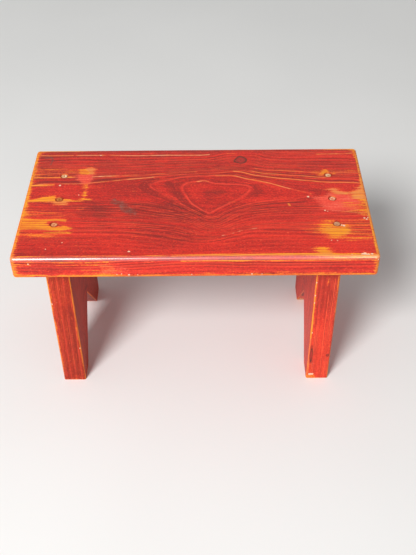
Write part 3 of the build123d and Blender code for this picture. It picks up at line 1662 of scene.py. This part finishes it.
@dataclass(frozen=True)
class Studio:
    """Pale floor, one large soft lamp from the front left, and even light all round."""

    floor_size: float = 14.0
    floor_gap: float = 0.0003  # how far the floor lies below the feet
    lamp_size: float = 1.6
    lamp_distance: float = 4.6
    lamp_power: float = 205.0
    lamp_from: Triple = (-0.344, -0.631, 0.695)
    world_strength: float = 0.34
    backdrop: float = 0.86  # how pale the world looks to the camera

    def build(self) -> None:
        """Makes the floor, the lamp and the world."""
        self._lay_floor()
        self._hang_lamp()
        self._light_world()
        bpy.context.scene.view_settings.view_transform = "Standard"
        log.info("studio: lamp %.0f W, world %.2f", self.lamp_power, self.world_strength)

    def _lay_floor(self) -> None:
        """Makes the floor."""
        bpy.ops.object.select_all(action="DESELECT")
        bpy.ops.mesh.primitive_plane_add(size=self.floor_size, location=(0.0, 0.0, -self.floor_gap))
        floor = bpy.context.object
        floor.name = "floor"
        floor.data.materials.append(PaleGround().build())

    def _hang_lamp(self) -> None:
        """Makes the lamp, turned to the bench."""
        data = bpy.data.lights.new("key", "AREA")
        data.shape, data.size, data.energy = "DISK", self.lamp_size, self.lamp_power
        lamp = bpy.data.objects.new("key", data)
        bpy.context.scene.collection.objects.link(lamp)
        toward = Vector(self.lamp_from).normalized()
        lamp.location = toward * self.lamp_distance
        lamp.rotation_mode = "QUATERNION"
        lamp.rotation_quaternion = toward.to_track_quat("Z", "Y")

    def _light_world(self) -> None:
        """Makes the world: dimmer as a light than it looks to the camera and in gloss."""
        world = bpy.data.worlds.new("even_light")
        world.use_nodes = True
        nodes, links = world.node_tree.nodes, world.node_tree.links
        sky = nodes["Background"]
        sky.inputs["Color"].default_value = (1.0, 1.0, 1.0, 1.0)
        path = nodes.new("ShaderNodeLightPath")
        seen = path.outputs["Is Camera Ray"]
        for ray in ("Is Glossy Ray", "Is Transmission Ray"):
            either = nodes.new("ShaderNodeMath")
            either.operation = "MAXIMUM"
            links.new(seen, either.inputs[0])
            links.new(path.outputs[ray], either.inputs[1])
            seen = either.outputs[0]
        strength = nodes.new("ShaderNodeMath")
        strength.operation = "MULTIPLY_ADD"
        links.new(seen, strength.inputs[0])
        strength.inputs[1].default_value = self.backdrop - self.world_strength
        strength.inputs[2].default_value = self.world_strength
        links.new(strength.outputs[0], sky.inputs["Strength"])
        bpy.context.scene.world = world


# ---------------------------------------------------------------- what this bench looks like

SEAT_RINGS = (
    (
        0, ((-22, 30), (-20, 38), (-14, 44), (-6, 47), (6, 48), (12, 51), (18, 49), (24, 45), (32, 41),
        (50, 40), (70, 38), (84, 36), (88, 31), (86, 22), (80, 12), (70, 3), (52, -12), (38, -22),
        (26, -31), (21, -37), (10, -28), (-4, -14), (-11, -2), (-16, 10), (-20, 22))
    ),
    (
        1, ((-74, 36), (-68, 45), (-50, 52), (-28, 60), (0, 64), (30, 64.5), (52, 64.5), (66, 62.5),
        (80, 56), (100, 49.5), (120, 42), (140, 32), (160, 22.5), (178, 15), (187, 11), (178, 6), (150, -3),
        (110, -8), (90, -13), (70, -21), (52, -31), (38, -42), (24, -47), (8, -38), (-16, -19), (-36, 0),
        (-58, 20), (-70, 30))
    ),
    (
        2, ((-266, 40), (-200, 44), (-150, 49.5), (-110, 56), (-68, 62), (-30, 67), (0, 70), (36, 72),
        (66, 76.5), (84, 70), (110, 62), (150, 54), (190, 47.6), (230, 43), (270, 40))
    ),
    (
        3, ((-266, 62), (-200, 63), (-150, 65), (-80, 68.5), (-20, 75), (30, 79), (66, 82.5), (86, 79),
        (98, 74), (114, 69), (150, 64), (200, 57.6), (270, 55))
    ),
    (
        4, ((-266, 71), (-150, 73), (-50, 78), (20, 84), (60, 89), (86, 88), (100, 83), (138, 78),
        (210, 70), (270, 68.5))
    ),
    (5, ((-266, 80), (-150, 82), (-50, 87), (20, 92), (48, 96), (110, 88), (170, 84), (270, 79))),
    (
        7, ((-266, 97), (-150, 99), (-50, 102), (30, 108), (52, 113), (98, 112), (120, 102), (180, 98),
        (270, 96))
    ),
    (
        9, ((-266, 114), (-150, 115), (-50, 116), (30, 120), (46, 128), (104, 127), (118, 119), (180, 115),
        (270, 113))
    ),
    (10, ((-266, 126.5), (-150, 126.5), (-50, 125), (20, 125.5), (150, 124), (220, 125), (270, 127))),
    (12, ((-266, 141), (-100, 141), (0, 141), (75, 141), (150, 140), (270, 141))),
    (
        2, ((-150, -3), (-100, -6), (-60, -14), (-30, -25), (0, -40), (24, -56), (46, -44), (60, -34),
        (80, -26), (110, -20), (150, -16), (210, -14), (270, -12))
    ),
    (
        3, ((-266, -16), (-150, -19), (-100, -20), (-60, -30), (-30, -38), (0, -52), (24, -66), (48, -56),
        (70, -40), (110, -32), (150, -29), (270, -24))
    ),
    (
        4, ((-266, -30), (-180, -31), (-130, -33), (-90, -38), (-50, -46), (0, -62), (26, -75), (50, -68),
        (75, -54), (110, -45), (150, -42), (270, -38))
    ),
    (
        5, ((-266, -44), (-150, -46), (-110, -49), (-50, -56), (0, -72), (28, -83), (50, -78), (75, -66),
        (110, -58), (200, -53), (270, -52))
    ),
    (
        7, ((-266, -66), (-150, -67), (-80, -72), (-20, -86), (20, -96), (42, -91), (70, -80), (94, -74),
        (130, -73), (198, -76), (270, -80))
    ),
    (
        9, ((-266, -86), (-150, -86), (-90, -90), (-30, -103), (20, -110), (50, -101), (80, -92),
        (130, -92), (190, -94), (270, -97))
    ),
    (
        10, ((-266, -95), (-190, -95), (-128, -96), (-90, -102), (-64, -106), (-40, -112), (10, -117),
        (60, -108), (100, -102), (190, -103), (270, -106))
    ),
    (12, ((-266, -116), (-128, -116), (-60, -124), (0, -129), (60, -124), (130, -120), (270, -122))),
    (14, ((-266, -138), (-100, -139), (0, -143), (100, -141), (270, -141))),
    (2, ((-266, 0), (-215, 0), (-167, 0))),
    (1.6, ((-266, 20), (-215, 21), (-160, 22), (-110, 28))),
    (1.5, ((205, 10), (230, 10), (262, 10))),
    (-0.6, ((35, 12), (25, 25), (50, 22))),
)

B, C, S, G, W, R = Channel.BARE, Channel.CREST, Channel.SHADE, Channel.GREY, Channel.GLOW, Channel.ROSE
P = Channel.PLAIN


def on(side: Side, kind: type[Mark], rows: Sequence[tuple]) -> tuple[Mark, ...]:
    """Marks of one face, from rows of channel, width, strength, tone if it has one, and points."""
    return tuple(kind(side, row[0], row[-1], *row[1:-1]) for row in rows)


SEAT_PATCHES = on(
    Side.TOP,
    Patch,
    (
        # Worn wood by the left screws: back, middle, front
        (
            B, 3.0, 0.96, 0.7, ((-197, 84), (-187, 86), (-181, 91), (-174, 93), (-168, 87), (-167, 70),
            (-192, 69))
        ),
        (R, 3.0, 1.0, ((-196, 71), (-169, 71), (-171, 47), (-176, 43), (-186, 43), (-190, 52), (-196, 54))),
        (B, 2.5, 0.42, 0.75, ((-189, 52), (-172, 52), (-173, 44), (-187, 44))),
        (B, 2.5, 0.62, 0.15, ((-184, 43), (-175, 43), (-175, 22), (-182, 22))),
        (B, 2.0, 0.80, 0.25, ((-182, 24), (-176, 24), (-175, 2), (-187, 2), (-182, 10))),
        (
            B, 2.2, 0.90, 0.33, ((-276, 1.5), (-262, 2), (-254, 5), (-246, 10), (-226, 13), (-221, 5),
            (-213, 3), (-206, 3), (-201, 2), (-194, 0.5), (-186, 0), (-182, 4), (-167, 3), (-166, -1),
            (-176, -1), (-183, -3), (-203, -3.5), (-240, -5), (-276, -4.5))
        ),
        (B, 2.5, 0.72, 0.62, ((-231, -3), (-202, -2), (-201, -10), (-204, -13.5), (-226, -13))),
        (B, 1.6, 0.45, 0.1, ((-188, -20), (-176, -20), (-176, -25), (-188, -25))),
        (
            B, 2.4, 0.98, 0.33, ((-278, -47), (-230, -48), (-218, -46.5), (-203, -47), (-198, -51),
            (-201, -55), (-208, -55), (-212, -53), (-226, -54), (-229, -59), (-224, -65), (-216, -67),
            (-208, -66), (-206, -62), (-196, -66), (-189, -70), (-193, -75), (-204, -76.5), (-230, -75),
            (-250, -74), (-278, -73))
        ),
        (
            B, 1.8, 0.85, 0.3, ((-236, -80.5), (-212, -79.5), (-192, -79.5), (-186, -82), (-190, -84.5),
            (-212, -84.5), (-232, -83.5))
        ),
        # and by the right ones
        (
            B, 2.4, 1.0, 0.2, ((199, 65), (205, 67), (210, 79), (216, 80), (220, 76), (219, 70), (213, 66),
            (210, 62), (201, 61.5))
        ),
        (B, 2.0, 0.70, 0.2, ((223, 70), (233, 70.5), (232, 65.5), (224, 64.5))),
        (
            B, 3.6, 0.74, 0.7, ((214, 24), (220, 27), (227, 26), (231, 21), (240, 17.5), (250, 18),
            (250, 10), (240, 8), (232, 10), (226, 9), (221, 13), (217, 17))
        ),
        (
            B, 4.0, 0.84, 0.62, ((246, 18), (258, 20), (264, 28), (276, 32), (276, -8), (262, -8),
            (252, -2), (246, 6))
        ),
        (B, 5.0, 0.44, 0.12, ((226, -6), (262, -8), (272, -30), (262, -48), (232, -36))),
        (
            R, 5.0, 1.0, ((188, 4), (206, 4), (214, 8), (222, 20), (240, 16), (256, 8), (266, -4),
            (262, -14), (258, -20), (253, -31), (235, -32), (215, -33), (203, -28), (198, -16), (194, -8))
        ),
        (
            B, 4.0, 0.56, 0.3, ((256, -4), (276, -6), (276, -48), (262, -46), (249, -42), (249, -30),
            (252, -18), (254, -12))
        ),
        (B, 3.0, 0.55, 0.15, ((207, -55), (219, -56), (216, -61), (208, -61))),
        (
            B, 5.0, 0.86, 0.25, ((178, -126), (186, -119), (196, -119), (204, -126), (208, -140),
            (174, -140))
        ),
        (B, 3.0, 0.6, 0.15, ((168, -76), (196, -72), (196, -82), (168, -80))),
        # Broad changes of colour: the eye, the clean front left, the band between two rings
        (S, 16.0, 0.12, ((-180, 60), (60, 66), (40, 0), (10, -46), (-60, -50), (-130, -8), (-190, 0))),
        (S, 6.0, 0.60, ((-190, -14), (-130, -16), (-120, -44), (-150, -48), (-190, -46))),
        (S, 10.0, 0.75, ((-120, -12), (-30, -4), (0, -40), (-10, -56), (-110, -50))),
        (S, 5.0, 0.95, ((-166, -14), (-138, -16), (-134, -46), (-148, -50), (-168, -42))),
        (W, 5.0, 0.65, ((-131, -32), (-112, -34), (-98, -46), (-130, -48))),
        (S, 12.0, 0.36, ((-178, 44), (-90, 58), (-66, 30), (-90, 2), (-178, 4))),
        (S, 8.0, 0.35, ((0, -46), (44, -52), (46, -84), (0, -84))),
        (S, 8.0, 0.45, ((178, 120), (224, 120), (224, 101), (178, 101))),
        (S, 8.0, 0.70, ((-276, 96), (-226, 92), (-192, 78), (-192, 64), (-276, 64))),
        (W, 6.0, 0.60, ((94, 46), (150, 56), (214, 44), (214, 30), (188, 14), (140, 26), (104, 40))),
        (W, 8.0, 0.95, ((136, -60), (276, -58), (276, -82), (136, -84))),
        (W, 6.0, 0.45, ((184, 40), (266, 38), (266, 28), (200, 24))),
        (W, 8.0, 0.50, ((92, 98), (180, 98), (180, 66), (112, 68))),
        (W, 8.0, 0.40, ((-45, 119), (44, 119), (44, 101), (-45, 101))),
        (S, 8.0, 0.40, ((-180, 100), (-136, 100), (-136, 82), (-180, 82))),
        (S, 8.0, 0.40, ((40, -100), (136, -100), (136, -120), (40, -120))),
        (S, 8.0, 0.40, ((-226, -100), (-150, -104), (-150, -138), (-226, -120))),
        (W, 7.0, 0.5, ((-14, 38), (0, 44), (60, 38), (82, 34), (84, 24), (20, 30), (4, -4), (-6, 4))),
        (W, 8.0, 0.6, ((60, 4), (150, 2), (150, -22), (90, -14))),
        (W, 8.0, 0.5, ((-150, -50), (-90, -50), (-90, -66), (-150, -66))),
        (S, 12.0, 0.8, ((-275, 150), (-186, 150), (-186, 122), (-232, 118), (-238, 96), (-275, 94))),
        (S, 12.0, 0.4, ((-92, -62), (-4, -58), (6, -120), (-80, -124))),
        (S, 10.0, 0.42, ((-276, -99), (-190, -100), (-150, -140), (-276, -140))),
        (P, 14.0, 0.4, ((-30, -62), (40, -40), (160, -26), (160, -98), (-30, -98))),
        (S, 4.0, 0.30, ((-270, 59), (-186, 59), (-186, 43), (-270, 43))),
        (S, 4.0, 0.75, ((-171, 61), (-130, 62), (-130, 53), (-171, 49))),
        (S, 4.0, 0.25, ((226, 38), (262, 36), (264, 24), (248, 19), (232, 24))),
        (S, 4.0, 0.6, ((206, 30), (216, 22), (214, 6), (206, 6))),
        (S, 8.0, 0.3, ((20, 104), (70, 100), (70, 84), (20, 84))),
        (W, 10.0, 0.55, ((-276, -18), (-190, -20), (-150, -52), (-130, -100), (-276, -97))),
        (W, 16.0, 0.9, ((200, 60), (276, 62), (276, -140), (190, -140), (176, -50))),
        (W, 14.0, 0.55, ((24, -62), (180, -56), (190, -110), (24, -108))),
        (W, 8.0, 0.5, ((-236, 102), (-178, 104), (-176, 80), (-236, 78))),
        (W, 12.0, 0.7, ((150, 140), (272, 142), (272, 100), (180, 104))),
        (P, 14.0, 1.0, ((-130, -98), (20, -104), (270, -100), (270, -138), (-270, -138), (-270, -100))),
        (P, 10.0, 0.8, ((56, 142), (108, 142), (98, 96), (60, 96))),
        # Streaks of thin stain near the ends
        (B, 5.0, 0.31, 0.1, ((-276, -16), (-250, -16), (-218, -26), (-196, -36), (-200, -48), (-276, -48))),
        (B, 4.0, 0.44, 0.1, ((-276, -80), (-200, -84), (-186, -94), (-276, -97))),
        (
            B, 5.0, 0.34, 0.1, ((-276, 106), (-258, 102), (-236, 92), (-200, 90), (-186, 76), (-190, 67),
            (-276, 66))
        ),
        (B, 3.0, 0.46, 0.1, ((-276, 98), (-258, 96), (-250, 80), (-254, 64), (-276, 62))),
        (B, 5.0, 0.50, 0.2, ((-276, -12), (-256, -16), (-252, -40), (-258, -92), (-276, -96))),
        (B, 5.0, 0.42, 0.1, ((236, -52), (276, -50), (276, -104), (240, -108), (176, -96), (170, -66))),
        (B, 4.0, 0.28, 0.1, ((190, 78), (236, 78), (276, 78), (276, 62), (190, 60))),
        (W, 16.0, 0.5, ((-262, 34), (-196, 38), (-196, 12), (-262, 16))),
        (W, 12.0, 0.8, ((58, 138), (102, 138), (96, 122), (62, 122))),
    ),
)

SEAT_GLOBS = (
    Patch(
        Side.TOP, B, ((190, -58), (206, -55), (216, -58), (236, -64), (244, -76), (238, -88), (230, -97),
        (214, -102), (198, -100), (188, -90), (184, -76)), 8.0, 0.72, 0.2, (1.4, 1.0)
    ),
    Patch(
        Side.TOP, B, ((202, -70), (212, -75), (230, -72), (237, -79), (230, -89), (217, -94), (204, -92),
        (197, -82)), 8.0, 1.5, 0.38, (1.4, 1.0)
    ),
)

SEAT_MARKS = SEAT_PATCHES + SEAT_GLOBS + on(
    Side.TOP,
    Mark,
    (
        (B, 3.0, 0.40, 0.1, ((-262, -92), (-186, -92.5))),
        (B, 2.4, 0.42, 0.2, ((-264, -38), (-206, -38))),
        (B, 2.6, 0.50, 0.15, ((240, -80), (272, -82))),
        (B, 3.0, 0.35, 0.15, ((180, -62), (198, -62))),
        (B, 2.6, 0.40, 0.75, ((226, -35), (262, -36))),
        # Rubbed crests
        (C, 5, 0.9, 0.3, ((-264, 127.5), (-212, 127.5))),
        (C, 5, 0.8, 0.55, ((-204, 127), (-158, 126.5))),
        (C, 5, 0.6, 0.3, ((-156, 126.5), (-130, 126))),
        (C, 5, 0.85, 0.7, ((-128, 126), (20, 125.5))),
        (C, 5, 0.5, 0.3, ((49, 128), (66, 129))),
        (C, 5, 0.7, 0.35, ((206, 125), (272, 127))),
        (C, 5, 1.3, 0.45, ((-266, 62), (-202, 63))),
        (B, 3.4, 0.95, 0.5, ((-268, 62), (-206, 62.6))),
        (C, 5, 0.8, 0.75, ((-170, 64.5), (-138, 65.5))),
        (C, 5, 0.7, 0.4, ((-136, 65.5), (-108, 67))),
        (C, 5, 0.55, 0.1, ((-108, 67), (-80, 68.5), (0, 76))),
        (C, 5, 0.8, 0.2, ((92, 76), (114, 69), (150, 64), (200, 57.6), (212, 57))),
        (C, 5, 1.2, 0.4, ((-266, 40), (-232, 42))),
        (B, 3.0, 0.85, 0.45, ((-268, 40.2), (-232, 42))),
        (C, 5, 0.5, 0.3, ((-228, 42), (-168, 47.5))),
        (C, 5, 0.65, 0.35, ((-166, 48), (-112, 56))),
        (C, 5, 0.8, 0.5, ((-112, 56), (-68, 62))),
        (C, 5, 0.55, 0.05, ((-66, 62), (-30, 67), (36, 72), (62, 76))),
        (C, 5, 1.0, 0.35, ((64, 76.5), (84, 70), (110, 62), (150, 54), (190, 47.6), (230, 43), (272, 40))),
        (C, 5, 0.75, 0.1, ((100, 83), (138, 78), (210, 70), (272, 68.5))),
        (C, 5, 0.75, 0.1, ((-266, 71), (-228, 71.5))),
        (C, 5, 1.0, 0.15, ((26, 64.5), (52, 64.5), (66, 62.5))),
        (C, 5, 0.95, 0.35, ((66, 62.5), (80, 56), (100, 49.5), (120, 42), (140, 32))),
        (C, 5, 0.8, 0.0, ((-28, 60), (0, 64), (28, 64.5))),
        (C, 5, 0.8, 0.0, ((-70, 30), (-74, 36), (-68, 45), (-50, 52), (-28, 60))),
        (C, 5, 0.5, 0.06, ((152, 27), (160, 22.5), (187, 11))),
        (C, 5, 1.0, 0.45, ((138, 33), (150, 27))),
        (
            C, 4, 1.0, 0.0, ((-22, 30), (-14, 44), (6, 48), (24, 45), (50, 40), (84, 36), (86, 22),
            (52, -12), (21, -37), (-4, -14), (-20, 22))
        ),
        (C, 3.5, 0.7, 0.6, ((5, 49), (18, 50))),
        (C, 4, 0.42, 0.7, ((42, -91), (56, -86), (70, -80), (94, -75))),
        (C, 5, 0.9, 0.1, ((192, -76), (232, -78), (272, -80))),
        # Bare line behind the polished front arris
        (B, 2.6, 0.7, 0.35, ((-262, -137.5), (-60, -137.2))),
        (B, 3.0, 0.8, 0.4, ((-60, -137), (-30, -136.8))),
        (B, 3.6, 0.9, 0.45, ((-34, -136.8), (30, -136.4))),
        (B, 4.4, 1.0, 0.45, ((26, -136.4), (206, -136))),
        (B, 3.6, 0.9, 0.3, ((206, -136.5), (268, -137))),
        (B, 12, 1.0, 0.25, ((-275, 144), (-264, 142))),
        (B, 12, 1.0, 0.4, ((275, 144), (266, 142))),
        (B, 9, 0.9, 0.3, ((275, -140), (268, -140))),
        (B, 2.6, 0.9, 0.5, ((147, -13), (149, -18))),
        # Darker wood
        (S, 2.6, 1.0, ((100, 80), (116, 74), (150, 68), (200, 61.5), (270, 59))),
        (S, 2.6, 1.0, ((88, 74), (114, 65), (150, 58), (190, 51.5), (270, 44))),
        (S, 2.6, 0.9, ((96, 88), (138, 82), (210, 74), (270, 72.5))),
        (S, 2.4, 0.8, ((-266, 59), (-130, 61), (-70, 65))),
        (S, 7, 0.75, ((-274, 138), (274, 138))),
        (S, 3, 0.8, ((-165, 108), (-70, 108))),
        (S, 3, 1.0, ((-130, 119.5), (-45, 119.5))),
        (S, 3, 0.8, ((-264, 66), (-226, 66))),
        (S, 2.5, 0.7, ((-262, 82), (-200, 82))),
        (S, 4, 0.6, ((-255, -27), (-190, -27))),
        (S, 9, 0.7, ((24, -54), (44, -53))),
        (S, 3, 0.9, ((106, -78), (186, -82))),
        (S, 2.6, 0.9, ((-270, -95), (-128, -95.5))),
        (S, 2.6, 0.8, ((-150, -56), (-80, -57))),
        (S, 3.4, 0.8, ((-150, -46), (-110, -47))),
        (S, 3.0, 0.9, ((-90, -103), (-64, -106), (-50, -112))),
        (S, 8, 0.8, ((-218, -60),)),
        (S, 9, 0.8, ((-46, 47), (-35, 20), (-14, -11), (8, -34), (12, -56))),
        (S, 6, 0.6, ((-36, 56), (-20, 56), (10, 56))),
        (W, 9, 1.0, ((92, -71), (188, -71))),
        # Smudges and scratches
        (G, 12, 0.75, ((-130, -4), (-117, -12), (-110, -24), (-98, -33))),
        (G, 2.6, 1.1, ((-256, 119), (-246, 121), (-243, 112), (-245, 100))),
        (S, 14, 0.6, ((-250, 118), (-244, 104))),
        (G, 2.0, 0.6, ((5, -48), (5, -54))),
        (G, 2.0, 0.5, ((42, -49), (42, -56))),
        (G, 4.0, 0.6, ((-252, -12),)),
    ),
) + on(
    Side.FRONT,
    Mark,
    (
        # Painted light: the whole front face of the seat is made brighter, as if it caught more light than
        # the top
        (W, 26.0, 0.4, ((-274, 282), (274, 282))),
        (B, 3.0, 0.54, 0.1, ((-250, 293), (-210, 292.5))),
        (B, 3.0, 0.46, 0.3, ((-208, 292), (-128, 291.5))),
        (B, 2.6, 0.46, 0.3, ((-204, 288), (-140, 287))),
        (B, 2.4, 0.50, 0.3, ((-196, 283), (-140, 282))),
        (B, 2.4, 0.54, 0.1, ((-170, 277), (-110, 276))),
        (B, 2.0, 0.4, 0.1, ((60, 270), (150, 271))),
        (B, 2.0, 0.4, 0.1, ((-274, 268), (-240, 267))),
        (B, 5.0, 0.8, 0.2, ((-274, 262), (-262, 264))),
        (B, 5.0, 0.7, 0.2, ((274, 262), (264, 264))),
        (S, 2.5, 0.6, ((-270, 283), (-215, 283))),
        (S, 2.5, 0.5, ((-60, 287), (60, 288), (150, 286))),
        (S, 2.5, 0.5, ((20, 276), (140, 277), (262, 276))),
        (B, 2.4, 0.7, 0.1, ((-274, 288.5), (-244, 288.5))),
        (B, 9.0, 0.60, 0.85, ((-137, 283), (-124, 282))),
        (S, 24.0, 0.34, ((-266, 279), (-216, 279))),
        (R, 14.0, 0.15, ((-264, 280), (-222, 280))),
        (R, 16.0, 0.40, ((-132, 276), (-108, 274))),
        (B, 1.8, 0.95, 0.3, ((-20, 294.4), (90, 294.4), (270, 294.2))),
        (B, 1.6, 0.7, 0.2, ((-262, 294.6), (-60, 294.5))),
    ),
)

SEAT_CHIPS = tuple(
    (Side.TOP, x, y, r)
    for x, y, r in (
        (-222, 40.5, 1.9), (-163, 126, 1.2), (-188, 14, 1.0), (-98, -126.5, 1.9), (-200, -105, 1.0),
        (-223, -120, 0.9), (180, 5, 2.0), (203, -31, 1.3), (207, -33, 1.0), (262, -51, 1.6),
        (268, -50, 1.9), (265, -54, 1.4), (271, -92, 2.0), (224, -67.5, 2.0), (228, -69, 2.2),
        (205, -104, 1.1), (214, -105, 0.8), (246, -137.5, 1.8), (250.5, -137, 4.4),
        (256, -138, 3.2), (261.5, -135.5, 1.8), (232, -137.5, 1.6), (236, -138, 1.5),
    )
) + tuple(
    (Side.FRONT, x, z, r)
    for x, z, r in (
        (
            -247, 289.5, 1.5), (-99, 267, 1.5), (-86, 267, 0.9), (-110, 269, 0.9), (-117, 268, 0.9),
            (-5, 267, 1.0), (85, 267, 1.2
        ),
        (100, 267, 0.9), (271, 293, 1.3),
    )
)

SEAT_ARRISES = (
    Arris(
        Side.TOP, Side.LEFT, ((-143, 7), (-100, 6.5), (-90, 11), (-84, 8), (-60, 8), (-45, 10), (-35, 13),
        (-20, 12), (-10, 7), (10, 6.5), (45, 7), (62, 12), (95, 13), (105, 8), (120, 8), (143, 13)), 0.6
    ),
    Arris(
        Side.TOP, Side.RIGHT, ((-143, 7), (-100, 5), (-92, 6.5), (-50, 5), (-40, 10), (0, 10), (30, 8),
        (60, 5.5), (75, 6), (110, 5.5), (143, 12)), 0.6
    ),
    *evenly(Side.TOP, {Side.BACK: 3.4}, 0.4),
    Arris(Side.TOP, Side.FRONT, ((-274, 2), (-262, 0.3), (255, 0.3), (274, 2)), 0.3, 1.0),
    Arris(Side.FRONT, Side.TOP, ((-274, 1.5), (-250, 0.3), (255, 0.3), (274, 1.5)), 0.3, 1.0),
    *evenly(Side.FRONT, {Side.BELOW: 7.5, Side.LEFT: 11.0, Side.RIGHT: 9.0}, 0.3),
    *evenly(Side.BACK, {Side.TOP: 2.0, Side.BELOW: 2.0, Side.LEFT: 3.0, Side.RIGHT: 3.0}),
    *evenly(Side.LEFT, {Side.TOP: 4.0, Side.BELOW: 2.5}),
    *evenly(Side.RIGHT, {Side.TOP: 4.0, Side.BELOW: 2.5}),
    *evenly(Side.BELOW, {Side.FRONT: 2.5, Side.BACK: 2.5, Side.LEFT: 3.0, Side.RIGHT: 3.0}),
)

END_ARRISES = (
    Arris(Side.FRONT, Side.LEFT, ((0, 3.0), (40, 2.2), (90, 2.4), (112, 3.8), (262, 4.4)), 0.6, tone=0.3),
    *evenly(Side.FRONT, {Side.RIGHT: 3.0}),
    *evenly(Side.BACK, {Side.LEFT: 3.0, Side.RIGHT: 3.0}),
    *evenly(Side.LEFT, {Side.FRONT: 3.0, Side.BACK: 3.0}),
    *evenly(Side.RIGHT, {Side.FRONT: 3.0, Side.BACK: 3.0}),
    *evenly(Side.LEFT, {Side.BELOW: 2.5}),
    *evenly(Side.RIGHT, {Side.BELOW: 2.5}),
    *evenly(Side.FRONT, {Side.BELOW: 2.0}),
    *evenly(Side.BACK, {Side.BELOW: 2.5}),
)

RIGHT_MARKS = on(
    Side.FRONT,
    Mark,
    (
        (B, 5, 0.62, 0.5, ((187, 258), (187, 160))),
        (B, 5, 0.70, 0.4, ((187.5, 150), (187.5, 100))),
        (B, 4, 0.42, 0.9, ((187.5, 95), (187.5, 40))),
        (B, 5, 0.50, 0.7, ((188.5, 36), (189, 12))),
        (B, 9, 1.0, 0.2, ((187, 3), (196, 5))),
        (S, 40, 0.8, ((212, 250), (212, 190))),
        (W, 34, 0.9, ((206, 110), (206, 20))),
        (S, 8.0, 1.2, ((190.5, 78), (191.0, 60), (190.5, 42))),
        (B, 3, 0.4, 0.1, ((204, 222), (208, 234))),
    ),
)
RIGHT_CHIPS = (
    (Side.FRONT, 187.5, 180, 1.3),
    (Side.FRONT, 189, 112, 1.2),
    (Side.FRONT, 192.5, 10, 3.0),
    (Side.FRONT, 196.2, 10.5, 2.4),
    (Side.FRONT, 187.5, 224, 1.2),
    (Side.FRONT, 187.5, 196, 1.4),
)
LEFT_MARKS = on(
    Side.FRONT,
    Mark,
    (
        (B, 4.5, 0.6, 0.1, ((-231, 255), (-231, 5))),
        (W, 16, 0.25, ((-222, 252), (-222, 150))),
        (S, 14, 0.5, ((-202, 170), (-204, 20))),
    ),
)
LEFT_CHIPS = (
    (Side.FRONT, -229.5, 182, 1.2),
    (Side.FRONT, -196, 79, 1.2),
)


def screw_nodes(side: str) -> tuple[str, ...]:
    """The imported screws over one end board, from front to back."""
    return tuple(f"{side}_screw_{place}" for place in ("front", "middle", "back"))


def main() -> None:
    """Builds the bench, piece by piece, and its studio."""
    logging.basicConfig(level=logging.INFO, format="%(name)s: %(message)s")
    Viewpoint().build()
    Studio().build()
    left_row = ScrewRow(
        x=-218.0,
        ys=(-61.0, 3.0, 67.0),
        nodes=screw_nodes("left"),
        finishes=(
            StainedSteel("screw_tan", (214, 126, 78), (242, 178, 128), 1.0),
            StainedSteel("screw_olive", (176, 98, 46), (202, 126, 66), 2.0),
            StainedSteel("screw_cream", (226, 164, 114), (248, 224, 186), 3.0),
        ),
    )
    right_row = ScrewRow(
        x=218.0,
        ys=(-64.0, 0.0, 64.0),
        nodes=screw_nodes("right"),
        finishes=(
            StainedSteel("screw_grey", (198, 138, 100), (232, 190, 152), 4.0),
            StainedSteel("screw_worn", (234, 126, 90), (252, 222, 182), 5.0),
            StainedSteel("screw_pale", (214, 150, 106), (238, 200, 158), 6.0),
        ),
    )
    SeatBoard(
        node="seat_board",
        slot="seat_wood",
        low=(-274.0, -143.0, 262.0),
        high=(274.0, 143.0, 300.0),
        rings=SeatRings(SEAT_RINGS),
        stain=WornRedStain("seat_stain", Axis.X, 2.0),
        marks=SEAT_MARKS,
        arrises=SEAT_ARRISES,
        chips=SEAT_CHIPS,
        knots=(Knot(Side.TOP, (74.6, 108.4), (11.0, 10.2), 0.16),),
        screws=left_row.places() + right_row.places(),
        seed=11,
    ).build((left_row, right_row))
    EndBoard(
        node="left_end_board",
        slot="end_wood",
        low=(-232.0, -117.0, 0.0),
        high=(-194.0, 117.0, 262.0),
        rings=UprightRings(heart=(-150.0, -20.0), lean=0.16, wander=6.0, seed=31),
        stain=WornRedStain(
            "left_end_stain",
            Axis.Z,
            31.0,
            deep=(140, 34, 17),
            body=(174, 43, 19),
            bright=(200, 58, 26),
            line=(120, 36, 20),
            gleam=(192, 66, 30),
            lines_per_ring=3.0,
            line_strength=0.4,
            banding=0.25,
        ),
        marks=LEFT_MARKS,
        arrises=END_ARRISES,
        chips=LEFT_CHIPS,
        seed=23,
    ).build(left_row)
    EndBoard(
        node="right_end_board",
        slot="end_wood",
        low=(186.0, -117.0, 0.0),
        high=(224.0, 117.0, 262.0),
        rings=UprightRings(heart=(120.0, 14.0), lean=-0.14, wander=7.0, seed=47),
        stain=WornRedStain(
            "right_end_stain",
            Axis.Z,
            57.0,
            deep=(172, 44, 30),
            body=(216, 52, 35),
            bright=(240, 68, 40),
            line=(140, 42, 30),
            gleam=(246, 88, 54),
            lines_per_ring=3.0,
            line_strength=0.55,
            banding=0.6,
        ),
        marks=RIGHT_MARKS,
        arrises=END_ARRISES,
        chips=RIGHT_CHIPS,
        knots=(
            Knot(Side.FRONT, (219.0, 58.0), (2.8, 3.2)),
            Knot(Side.FRONT, (191.4, 59.0), (2.6, 17.0)),
        ),
        seed=37,
    ).build(right_row)
    for row in (left_row, right_row):
        row.dress()


if __name__ == "__main__":
    main()
